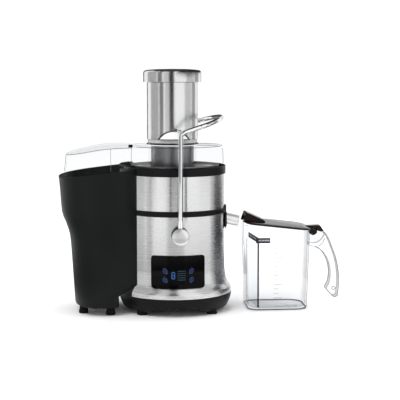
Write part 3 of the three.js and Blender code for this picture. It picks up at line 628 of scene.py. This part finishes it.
MESH_STEEL = brushed("basket_mesh", (0.55, 0.55, 0.555), 0.3, stretch=(700, 700, 700), anisotropic=0.0)
basket_top = top("filter_basket")
finish_piece(lathe("basket_cone", [
    (4.4, 183), (47, 183), (48.6, 184.8), (72.6, 241), (75, 241), (75, basket_top), (73.8, basket_top),
    (73.8, 242.4), (71.6, 242.4), (46.8, 184.6), (4.4, 184.6),
], 144), "drive", MESH_STEEL, ["filter_basket"])
for name, look in (("drive_shaft", IRON), ("motor_rotor", IRON), ("commutator", COPPER),
                   ("cooling_fan", BLACK),
                   ("drive_coupling", BLACK), ("cutting_disc", STEEL_PLAIN), ("basket_nut", BLACK),
                   ("motor_stator", IRON),
                   ("motor_bracket_lower", IRON), ("motor_bracket_upper", IRON), ("bearing_lower", IRON),
                   ("bearing_upper", IRON), ("brush_holder_left", BLACK), ("brush_holder_right", BLACK),
                   ("shaft_seal", RUBBER), ("control_board", BOARD), ("display_module", PANEL),
                   ("pulp_lip", BLACK), ("jug_hinge_pin", SMOKED)):
    node = frame["nodes"][name]
    node.data.materials.clear()
    node.data.materials.append(look)

# ---------- pulp bin ----------

BIN_LEFT = extent("pulp_bin", 0)[0]
RIM_Z = top("pulp_bin")


def rim_height(x):
    return RIM_Z - 0.12 * (-66.6 - x)


def lobe(left, half, tip, count=41):
    """The left part of a plan outline, from the rear tip round the left end to the front tip."""
    middle = -118
    front = [(x, -half + 13 * ((x - middle) / 43.5) ** 2) for x in (tip, tip - 13, tip - 26)]
    end = []
    for i in range(count):
        t = math.pi * i / (count - 1)
        c = math.cos(t)
        end.append((middle - (middle - left) * math.sin(t) ** 0.72,
                    -half * math.copysign(abs(c) ** 0.8, c)))
    outline = front + end + [(x, -y) for x, y in reversed(front)]
    return outline[::-1]


def bin_ring(left, half, r_in, tip_x, z, wall=0.0):
    r = r_in + wall
    tip = tip_x - wall * 1.5
    corner = tip - (2 if r_in > 100 else 7.9)
    start = math.acos(tip / r)
    wrap = []
    for i in range(25):
        a = -start + (2 * start - 2 * math.pi) * i / 24
        wrap.append((r * math.cos(a), r * math.sin(a)))
    return [(x, y, z(x) if callable(z) else z) for x, y in lobe(left + wall, half - wall, corner) + wrap]


def bin_levels(floor, rim):
    foot_part, trunk = (112, -97), (91, -66.6)
    rows = [(-167, 71, foot_part, floor), (-169.4, 73.4, foot_part, floor + 1.2),
            (-170.5, 74.5, foot_part, floor + 3.5),
            (-171.6, 76, foot_part, floor + 19), (-172.6, 77, trunk, floor + 37), (-174.9, 79.2, trunk, 90),
            (-176.8, 80.8, trunk, 119), (-178.4, 81.8, trunk, 131), (-180.2, 82.4, trunk, 139),
            (-185, 83.4, trunk, 153),
            (-189, 84.2, trunk, 162), (-191.2, 84.8, trunk, 170), (-192.6, 85.5, trunk, 185),
            (-194.3, 86.8, trunk, 212), (BIN_LEFT, 88, trunk, rim)]
    return [(left, half, *part, z) for left, half, part, z in rows]


bin_floor = 14
outer = loft("pulp_bin_shell", [bin_ring(*level) for level in bin_levels(bin_floor, rim_height)])
inner = loft("bin_hollow",
             [bin_ring(*level, 2.6) for level in bin_levels(bin_floor + 3, lambda x: rim_height(x) + 5)])
cut(outer, inner)
finish_piece(outer, "bin", BIN, ["pulp_bin"], 0.9)
outer.visible_glossy = False  # the steel beside it mirrors the studio
for i, (x, y) in enumerate(((-156, -32), (-111, -52), (-156, 32), (-111, 52))):
    finish_piece(lathe(f"pulp_bin_foot_{i}", [
        (0, 0), (7.2, 0), (8, 0.8), (8, 4), (7.4, 5.8), (6.8, 7.6), (6.8, 14.4), (0, 14.4),
    ], 40, lambda u, v, h, x=x, y=y: (x + u, y + v, h)), "bin", RUBBER)

# ---------- lid, chute and pusher ----------

CHUTE_X = sum(extent("chute_sleeve", 0)) / 2
CHUTE_TOP = top("chute_sleeve") - 0.6
LID_TOP = 279.5
LUG_Z = 275.2


def about_chute(u, v, h):
    return (CHUTE_X + u, v, h)


def lid_hood(name, wall):
    levels = [(-190.4, 84, 205), (-187.4, 82.6, 232), (-184.2, 81, 262), (-181, 79.5, 290)]
    hood = loft(name, [[(x, y, z) for x, y in lobe(left + wall, half - wall,
                                                   -74.5) + [(-40, -half + 26 + wall),
                       (-40, half - 26 - wall)]] for left, half, z in levels])
    low = 0.9 - wall * 8
    crown = smooth_line([(-40, 0, 279.5), (-80, 0, 279.5), (-98, 0, 279.4), (-108, 0, 279), (-120, 0, 278),
                         (-133, 0, 276), (-149, 0, 273), (-170, 0, 268.8), (-200, 0, 262)], 5)
    profile = [(-200, rim_height(-200) + low), (-40, rim_height(-40) + low)] + [(p.x,
            p.z - wall) for p in crown]
    return combine(hood, [slab(f"{name}_crown", profile, -110, 110)], "INTERSECT")


lid = lathe("lid_shell", [
    (0, 242.9), (83.3, 242.9), (82.6, 262), (82, 275), (81.4, 277.4), (80.2, 279), (78.8, LID_TOP),
    (0, LID_TOP)], 144)
hollow = lathe("lid_hollow", [(0, 230), (80.9, 230), (80.2, 262), (79.4, 274.6), (78.4, 276.2), (77, 276.9),
                              (0, 276.9)], 144)
join(lid, lid_hood("hood", 0))
cut(lid, hollow, lid_hood("hood_hollow", 2.6))
chute = lathe("chute_outside", [(0, 200), (41, 200), (41, CHUTE_TOP), (0, CHUTE_TOP)], 128, about_chute)
collar = lathe("chute_collar", [(0, 278.5), (43, 278.5), (43, 284), (0, 284)], 128, about_chute)
bore = lathe("chute_bore", [(0, 195), (38.4, 195), (38.4, 390), (0, 390)], 128, about_chute)
join(lid, chute, collar)
cut(lid, bore)
finish_piece(lid, "body", CLEAR_LID, ["lid"], 0.5)

# the half-moon lugs under the arm's hooks are frosted, with a dark line along the foot
for side, y0, y1 in (("front", -60, 0), ("rear", 0, 60)):
    for part, low, high, look in (("lug", 291.2, 310, MOON), ("lug_line", 290.3, 291.1, BLACK)):
        moon = lathe(f"{part}_{side}", [(41.05, low), (46.9, low), (46.9, high), (41.05, high)], 160,
                     about_chute)
        combine(moon, [loft("lug_disc", [[(CHUTE_X + 28.3 * math.cos(a), y, LUG_Z + 28.3 * math.sin(a))
                       for a in (2 * math.pi * k / 96 for k in range(96))] for y in (y0, y1)])],
                       "INTERSECT")
        finish_piece(moon, "body", look)

sleeve_low, sleeve_high = extent("chute_sleeve", 2)
sleeve = lathe("chute_steel", [(43, sleeve_low), (43, sleeve_high), (41.6, sleeve_high),
                               (41.6, sleeve_low)], 160, about_chute)
cut(sleeve, loft("lug_window", [[(CHUTE_X + 30.8 * math.cos(a), y, LUG_Z + 30.8 * math.sin(a))
    for a in (2 * math.pi * k / 128 for k in range(128))] for y in (-60, 60)]))
finish_piece(sleeve, "body", STEEL_CHUTE, ["chute_sleeve"], 0.25)

cap_low, cap_high = extent("pusher_cap", 2)
CAP_R = (extent("pusher_cap", 0)[1] - extent("pusher_cap", 0)[0]) / 2
finish_piece(lathe("pusher_lid", [
    (0, cap_high), (24, cap_high - 0.4), (38, cap_high - 1.3), (44.6, cap_high - 2.2),
    (47.2, cap_high - 3.2),
    (48.6, cap_high - 4.8), (CAP_R, cap_high - 6.4), (CAP_R, cap_low), (CAP_R - 1.3, cap_low),
    (CAP_R - 1.3, cap_high - 6.2), (46.2, cap_high - 4.9), (0, cap_high - 2),
], 160, about_chute), "pusher", STEEL_CHUTE, ["pusher_cap"], 0.25)
finish_piece(lathe("pusher_inner_cap", [
    (0, 398), (36.4, 398), (36.4, cap_low), (47.3, cap_low), (47.3, 400.6), (0, 402.4)], 96, about_chute),
    "pusher", BLACK, ["pusher_core"], 0.3)
finish_piece(lathe("pusher_barrel", [
    (0, 203), (34.6, 203), (36, 204.4), (36, 397.5), (34.6, 397.5), (34.6, 205), (34, 204.4), (0, 204.4)],
    96, about_chute), "pusher", BARREL, ["pusher_tube"])

# dark and pale lines round the foot of the chute, and painted dark lines along the clear lid's moulded
# edges, standing in for the light the thick plastic bends and mirrors there
for name, low, high, reach, look in (("chute_line_dark", 281.5, 282.7, 43.6, BLACK),
                                     ("chute_line_pale", 279.6, 281, 44.2, MOON),
                              ("chute_foot_frosted", 284.2, 289.8, 41.9, FROST)):
    inner = min(reach - 0.5, 43.05)
    finish_piece(lathe(name, [(inner, low), (reach, low), (reach, high), (inner, high)], 144, about_chute),
                 "body", look)


def painted_edge_line(name, points, radius, body, look):
    """A fine dark line along an edge of a clear moulding: painted refraction and reflection of its thick
    edge.
    """
    return finish_piece(sweep(name, [Vector(p) for p in points], radius, 10), body, look)


CROWN = ((-200, 262), (-170, 268.8), (-149, 273), (-133, 276), (-120, 278), (-108, 279), (-98, 279.4),
         (-80, 279.5), (0, 279.5))


def crown_height(x):
    for (x0, z0), (x1, z1) in zip(CROWN, CROWN[1:]):
        if x0 <= x <= x1:
            return z0 + (z1 - z0) * (x - x0) / (x1 - x0)
    return CROWN[-1][1]


hood_top = [(x, y, crown_height(x) - 0.8) for x, y in lobe(-181.8, 79.2, -74.5)]
for side, start, half, look, thick in (("front", -146, hood_top[len(hood_top) // 2:], EDGE, 0.5),
                                       ("rear", 0, hood_top[:len(hood_top) // 2 + 1], EDGE_FAINT, 0.35)):
    painted_edge_line(f"lid_edge_{side}", [(79.4 * math.cos(a), 79.4 * math.sin(a), LID_TOP - 0.7)
                                   for a in (math.radians(start + 2 * i) for i in range(74))], thick,
                                   "body", look)
    painted_edge_line(f"hood_edge_{side}", half, thick, "body", look)
painted_edge_line("hood_wall_line", [(-109, -80.4, 242), (-109, -79.4, 277.5)], 0.45, "body", EDGE_FINE)
painted_edge_line("drum_wall_line", [(-75, -34, 246), (-74, -33, 278)], 0.45, "body", EDGE_FINE)
painted_edge_line("hood_end", [(-186.4, 0, 236), (-183.6, 0, 262), (-183.2, 0, 265)], 0.5, "body", EDGE_FINE)
painted_edge_line("drum_end", [(82.3, 0, 248), (81.9, 0, 262), (81.3, 0, 274)], 0.5, "body", EDGE_FINE)
latch = block("lid_latch", (-79.5, -44, 278), (-72.5, -38, 282.6))
finish_piece(latch, "body", BLACK, (), 0.8)

# ---------- locking arm ----------

ARM_R, CORNER_X, CORNER_Z, END_X, END_Z = 3.8, PIVOT.x + 1.5, 303, 78, 326.5
RISE = (END_Z - CORNER_Z) / (END_X - CORNER_X)


def arm_line():
    grip = []
    for i in range(25):
        t = math.pi * (i / 24 - 0.5)
        x = 34 + (END_X - 34) * math.cos(t)
        grip.append((x, 88 * math.sin(t), CORNER_Z + RISE * (x - CORNER_X)))
    leg = [(PIVOT.x, 101, PIVOT.z + 5), (PIVOT.x + 0.7, 99, (PIVOT.z + CORNER_Z) / 2),
           (CORNER_X - 0.2, 97, CORNER_Z - 9),
           (CORNER_X + 2, 96.6, CORNER_Z - 1.2), (CORNER_X + 10, 95, CORNER_Z + 10 * RISE)]
    return smooth_line([(x, -y, z) for x, y, z in leg] + grip + leg[::-1], 4)


rod = sweep("arm_rod", arm_line(), ARM_R, 32)
join(rod, *(lathe(f"arm_eye_{degrees}", [(0, 97.4), (7.8, 97.4), (8.6, 98.2), (8.6, 104.1), (7.8, 104.9),
                                         (0, 104.9)], 64,
                  outward(degrees, PIVOT.z, PIVOT.x)) for degrees in (0, 180)))
cut(rod, *(lathe(f"arm_hole_{degrees}", [(0, 90), (4.35, 90), (4.35, 110), (0, 110)], 48,
                 outward(degrees, PIVOT.z, PIVOT.x)) for degrees in (0, 180)))
finish_piece(rod, "arm", CHROME, ["locking_arm"])
for side, way in (("front", -1), ("rear", 1)):
    hook = sweep(f"arm_hook_{side}",
                 smooth_line([(4.2, way * 96.6, 303.6), (2.6, way * 95.4, 306.2), (1, way * 92, 306.9),
                 (0.8, way * 80, 306.9), (0.8, way * 60, 306.9), (0.8, way * 44.6, 306.9)], 6), 2.6, 24)
    finish_piece(hook, "arm", CHROME, (), 0.5)

knob_face = -extent("arm_knob_front", 1)[0]
for side, degrees in (("front", 0), ("rear", 180)):
    finish_piece(lathe(f"knob_{side}", [
        (0, 76), (4, 76), (4, 105.3), (13.2, 105.3), (13.8, 105.8), (14, 106.6), (14, 109), (13.6, 110.2),
        (12.4, 111.2), (10, 111.9), (8, 112.2), (4, knob_face - 0.1), (0, knob_face),
    ], 96, outward(degrees, PIVOT.z, PIVOT.x), 50), "arm", SATIN, [f"arm_knob_{side}"])

# ---------- juice jug ----------

JUG_Y = JUG_PIN.y
RIM = 147.2
RIM_SLOPE = 0.113  # the rim falls towards the handle
LIP_SLOPE = 0.62  # and falls faster towards the pouring lip
GRIP_HALF = 10.5
HINGE_SWEEP = 21  # room in the handle for the lid's tail as it swings
PIN_BORE = 4.35


def jug_rim(x):
    return RIM - LIP_SLOPE * (124 - x) if x < 124 else RIM - RIM_SLOPE * (x - 124)


def jug_ring(left, right, half, lip, z, wall=0.0):
    x0, x1, h = left + wall, right - wall, half - wall
    outline = []

    def corner(cx, cy, r, start):
        for i in range(13):
            a = start + math.pi / 2 * i / 12
            outline.append((cx + r * math.cos(a), cy + r * math.sin(a)))

    big, small = 24 - wall, 18 - wall
    corner(x1 - big, -h + big, big, -math.pi / 2)
    corner(x1 - big, h - big, big, 0)
    corner(x0 + small, h - small, small, math.pi / 2)
    for i in range(19):
        y = 22 - 44 * i / 18
        outline.append((x0 - lip * math.cos(math.pi / 2 * y / 22) ** 2, y))
    corner(x0 + small, -h + small, small, math.pi)
    return [(x, y + JUG_Y, z(x) if callable(z) else z) for x, y in outline]


def jug_levels(floor, rim):
    return [(123.9, 222, 42.6, 0, floor), (122.4, 223.6, 44.2, 0, floor + 1),
            (121.3, 224.8, 45.6, 0, floor + 3.5),
            (120.9, 225.4, 46.2, 0, floor + 20), (120.3, 226.4, 47.2, 0, floor + 58),
            (119.9, 226.9, 47.6, 0.6, floor + 75),
            (119.7, 227.3, 48, 2, floor + 88), (119.4, 227.6, 48.4, 3.8, floor + 102),
            (119.1, 228, 49, 6.6, floor + 116),
            (118.9, 228.3, 49.5, 9, floor + 126 if not callable(rim) else floor + 122),
            (118.7, 228.6, 50, 12.4, rim)]


jug = loft("jug_body", [jug_ring(*level) for level in jug_levels(0, jug_rim)])
hollow = loft("jug_hollow", [jug_ring(*level, 2.6) for level in jug_levels(4, lambda x: jug_rim(x) + 4)])
cut(jug, hollow)
finish_piece(jug, "jug", CLEAR_JUG, ["jug"], 0.6)
# painted dark lines along the jug's foot and wall edges, standing in for the light the thick clear plastic
# bends and mirrors there
foot_ring = jug_ring(122.8, 223.2, 43.8, 0, 1.7)
painted_edge_line("jug_foot_edge", foot_ring + foot_ring[:1], 1.0, "jug", EDGE)
wall_rings = [jug_ring(*level) for level in jug_levels(0, jug_rim)[2:10]]
for name, place, radius in (("left", 58, 0.4), ("inner", 70, 0.45), ("right", 9, 0.4)):
    painted_edge_line(f"jug_edge_{name}", [ring[place] for ring in wall_rings], radius, "jug", EDGE_FINE)


def smooth_outline(points, steps=5):
    return [(p.x, p.z) for p in smooth_line([(x, 0, z) for x, z in points], steps)]


lug = [(JUG_PIN.x + 6.6 * math.cos(a),
        JUG_PIN.z + 6.6 * math.sin(a)) for a in (math.radians(125 - 10 * i) for i in range(16))]
outer = smooth_outline([(259.5, 127), (266, 115), (271.5, 101), (277.5, 85), (281.4, 68), (283.3, 50),
                        (283.3, 34), (281.5, 17)])
heel = smooth_outline([(281.5, 17), (276, 14.6), (270.6, 17.6), (264, 25), (260.6, 31), (264.8, 39)],
                      4)[1:-1]
under = smooth_outline([(264.8, 39), (267, 50), (266.8, 64), (263.4, 78), (257, 90), (250, 97.6),
                        (243, 101.2)])
grip = slab("jug_grip", [(229.6, 106), (229.4, 127), *lug, (252, 127.6), *outer, *heel, *under],
            JUG_Y - GRIP_HALF, JUG_Y + GRIP_HALF)
swing = [(JUG_PIN.x + HINGE_SWEEP * math.cos(a),
          JUG_PIN.z + HINGE_SWEEP * math.sin(a)) for a in (math.radians(5 * i) for i in range(-36, 1))]
cut(grip, slab("hinge_slot", [(217, 145), *swing, (259, 145)], JUG_Y - 7, JUG_Y + 7),
    lathe("hinge_bore", [(0, -20), (PIN_BORE, -20), (PIN_BORE, 20), (0, 20)], 40, lambda u, v,
          h: (JUG_PIN.x + u, JUG_Y + h, JUG_PIN.z + v)))
finish_piece(grip, "jug", CLEAR_GRIP, ["jug_handle"], 2.2)


def inset(points, by):
    """An open outline moved to the right of its own direction."""
    line = [Vector((x, 0, z)) for x, z in points]
    moved = []
    for i, p in enumerate(line):
        ahead = (line[min(i + 1, len(line) - 1)] - line[max(i - 1, 0)]).normalized()
        moved.append((p.x + by * ahead.z, p.z - by * ahead.x))
    return moved


# painted dark lines along the handle's edges and web, standing in for the light the thick clear acrylic
# bends and mirrors there
rim = inset([*outer, *heel, *under], 0.9)
for name, y in (("front", -9.4), ("rear", 9.4)):
    painted_edge_line(f"grip_edge_{name}", [(x, JUG_Y + y, z) for x, z in rim], 0.6, "jug", EDGE_FINE)
painted_edge_line("grip_web", [(247, JUG_Y - 9.8, 104), (254, JUG_Y - 9.8, 110), (257.5, JUG_Y - 9.8, 118)], 0.7,
          "jug", EDGE_FINE)
finish_piece(lathe("grip_eye", [(2.2, -10.4), (3.4, -10.4), (3.4, -9.4), (2.2, -9.4)], 40,
                   lambda u, v, h: (273.5 + u, JUG_Y + h, 31 + v)), "jug", EDGE_FINE)

# a plain measuring scale of ticks on the front wall
ticks = []
for i in range(13):
    z, long = 22 + 7.6 * i, 14 if i % 3 == 0 else 8
    ticks.append(((164, JUG_Y - 47.2 - 0.012 * z, z), (164 + long, JUG_Y - 46.2 - 0.012 * z, z + 0.8)))
scale = block("jug_scale", *ticks[0])
join(scale, *(block(f"tick_{i}", *tick) for i, tick in enumerate(ticks[1:])))
finish_piece(scale, "jug", FAINT)

# the froth separator: a clear blade with a dark front edge, under a grey band with dark rims
blade_low = foot("froth_separator")
turn = math.radians(5.3)


def on_blade(name, s0, s1, t0, t1, z0, z1):
    """A box by its distance along the blade and across it."""
    corners = [(135.2 + t * math.cos(turn) - s * math.sin(turn),
                JUG_Y + t * math.sin(turn) + s * math.cos(turn))
               for s, t in ((s0, t0), (s0, t1), (s1, t1), (s1, t0))]
    return loft(name, [[(x, y, z) for x, y in corners] for z in (z0, z1)])


def clip(name, x0, x1, z0, z1):
    return block(name, (x0, JUG_Y - 41.5, z0), (x1, JUG_Y - 39.7, z1))


finish_piece(on_blade("separator_blade", -37.4, 37, -0.9, 0.9, blade_low, 114.9), "jug",
             CLEAR_BLADE, ["froth_separator"], 0.3)
finish_piece(on_blade("separator_front_edge", -39, -37.5, -1.3, 1.3, blade_low, 114.9), "jug",
             SMOKED, (), 0.3)
finish_piece(on_blade("separator_band", -39, 37, -0.8, 0.8, 118, 120.7), "jug",
             GREY_CLEAR)
for level, (z0, z1) in (("low", (115, 117.9)), ("high", (120.8, 123.5))):
    finish_piece(on_blade(f"separator_rim_{level}", -39, 37, -0.9, 0.9, z0, z1), "jug",
                 SMOKED, (), 0.3)
    finish_piece(clip(f"separator_clip_{level}", 134.6, 158.5, z0, z1), "jug", SMOKED, (),
                 0.3)
finish_piece(clip("separator_clip", 134.6, 158.5, 118, 120.7), "jug", GREY_CLEAR)

plate_levels = [(0, 0.5), (0, 1.6), (0.5, 2.3), (1.6, 2.9), (9, 3.7)]
lid_plate = loft("jug_cover",
                 [jug_ring(117.6, 229.4, 50.8, 0, lambda x, rise=rise: RIM - RIM_SLOPE * (x - 124) + rise,
                           inset)
                 for inset, rise in plate_levels])
# a black line round the cover's lower edge: painted shade under the rim of the lid
cover_shade_line = jug_ring(117.8, 229.2, 50.6, 0, lambda x: RIM - RIM_SLOPE * (x - 124) + 0.9)
finish_piece(sweep("jug_cover_shade_line", [Vector(p) for p in cover_shade_line + cover_shade_line[:1]], 0.6, 10),
             "jug_lid", BLACK)
hood = slab("jug_hood", [(114.9, 148), (120.3, 163.8), (121.6, 164), (124, 163.6), (150, 152), (153, 149),
                         (153, 146.4)], JUG_Y - 22, JUG_Y + 22)
soften(hood, 2.2, 5)
bake(hood)
neck = slab("jug_neck", [(226, 136.6), (226, 139.4), (240, 139.9), (247.5, 140.4), (249.8, 139.6),
                         (256.7, 129.8), (252, 128.6),
                         (244, 131), (238, 129.5), (231.5, 136)], JUG_Y - 6.3, JUG_Y + 6.3)
eye = lathe("lid_eye", [(0, -6.3), (6.6, -6.3), (6.6, 6.3), (0, 6.3)], 56,
            lambda u, v, h: (JUG_PIN.x + u, JUG_Y + h, JUG_PIN.z + v))
join(lid_plate, hood, neck, eye)
cut(lid_plate, slab("hood_hollow", [(110, 140), (110, 151), (121.4, 161), (123.6, 160.8), (144, 152),
                                    (144, 140)], JUG_Y - 19.6, JUG_Y + 19.6),
    lathe("lid_bore", [(0, -20), (PIN_BORE, -20), (PIN_BORE, 20), (0, 20)], 40,
          lambda u, v, h: (JUG_PIN.x + u, JUG_Y + h, JUG_PIN.z + v)))
finish_piece(lid_plate, "jug_lid", SMOKED, ["jug_lid"], 0.7)

# ---------- studio ----------

bpy.ops.mesh.primitive_plane_add(size=14, location=(0, 0, 0))
floor = bpy.context.object
floor.name = "studio_floor"
floor.data.materials.append(surface("studio_floor", (0.97, 0.97, 0.97), 1.0))

world = bpy.data.worlds.new("studio")
bpy.context.scene.world = world
world.use_nodes = True
world.node_tree.nodes["Background"].inputs["Color"].default_value = (1, 1, 1, 1)
world.node_tree.nodes["Background"].inputs["Strength"].default_value = 1.08


def lamp(name, place, size, power):
    data = bpy.data.lights.new(name, "AREA")
    data.size, data.energy = size, power
    obj = bpy.data.objects.new(name, data)
    obj.location = place
    obj.rotation_euler = (Vector((0, 0, 0.2)) - Vector(place)).to_track_quat("-Z", "Y").to_euler()
    obj.visible_glossy = False
    bpy.context.scene.collection.objects.link(obj)


def card(name, points, faces, shade):
    """A dark or grey sheet that only shows in what the metal mirrors. Points in metres."""
    mesh = bpy.data.meshes.new(name)
    mesh.from_pydata(points, [], faces)
    mesh.materials.append(surface(name, (shade, shade, shade), 1.0))
    obj = bpy.data.objects.new(name, mesh)
    bpy.context.scene.collection.objects.link(obj)
    obj.visible_camera = obj.visible_diffuse = obj.visible_shadow = obj.visible_transmission = False


def standing_card(name, azimuths, low, high, shade):
    """A tall card curved round the machine. Azimuth 0 is the front, and 90 the right."""
    points = []
    for i in range(25):
        a = math.radians(azimuths[0] + (azimuths[1] - azimuths[0]) * i / 24)
        x, y = 0.64 * math.sin(a), -0.64 * math.cos(a)
        points += [(x, y, low), (x, y, high)]
    card(name, points, [[2 * i, 2 * i + 2, 2 * i + 3, 2 * i + 1] for i in range(24)], shade)


def circle(radius, z):
    return [(radius * math.cos(2 * math.pi * i / 48), radius * math.sin(2 * math.pi * i / 48),
             z) for i in range(48)]


# each band of cards: its heights, then (azimuth range in degrees, shade) for each card
CARDS = {
    "low": (-0.05, 0.2, (
        ((-24, 12), 0.66), ((-70, -56), 0.6), ((-112, -74), 0.66), ((82, 94), 0.4),
        ((94, 127), 0.04), ((127, 140), 0.3), ((140, 168), 0.7), ((168, 216), 0.12))),
    "high": (0.2, 1.3, (
        ((-40, -20), 0.55), ((-20, -1), 0.0), ((-64, -46), 0.15), ((-112, -68), 0.4),
        ((50, 88), 0.5), ((92, 120), 0.3), ((142, 168), 0.6), ((168, 216), 0.05))),
}
for level, (low, high, shades) in CARDS.items():
    for i, (azimuths, shade) in enumerate(shades):
        standing_card(f"card_{level}_{i}", azimuths, low, high, shade)
card("card_ring", circle(0.3, 0.004) + circle(0.62, 0.004),
     [[i, (i + 1) % 48, 48 + (i + 1) % 48, 48 + i] for i in range(48)], 0.1)
card("card_overhead", circle(0.5, 1.32), [list(range(48))], 0.03)
card("card_near_overhead", circle(0.3, 0.72), [list(range(48))], 0.03)
# close to the chrome rod, for its dark edges
for side, x in (("left", -0.062), ("right", -0.022)):
    card(f"card_rod_{side}", [(x, -0.112, 0.16), (x, -0.1, 0.16), (x, -0.1, 0.3), (x, -0.112, 0.3)],
         [[0, 1, 2, 3]], 0.04)
card("card_loop", [(-0.03, -0.14, 0.42), (0.14, -0.14, 0.42), (0.14, 0.14, 0.42), (-0.03, 0.14, 0.42)],
     [[0, 1, 2, 3]], 0.04)
lamp("key", (-1.2, -1.7, 2.2), 1.2, 26)
lamp("top", (0.2, 0.1, 2.6), 1.6, 14)

camera_data = bpy.data.cameras.new("camera")
camera_data.lens = 106.4
camera_data.sensor_width = 36
camera = bpy.data.objects.new("camera", camera_data)
camera.location = (-0.1655, -1.9968, 0.400)
camera.rotation_euler = (math.radians(90 - 6.12), 0, math.radians(-4.7))
bpy.context.scene.collection.objects.link(camera)
bpy.context.scene.camera = camera
bpy.context.scene.view_settings.view_transform = "Standard"
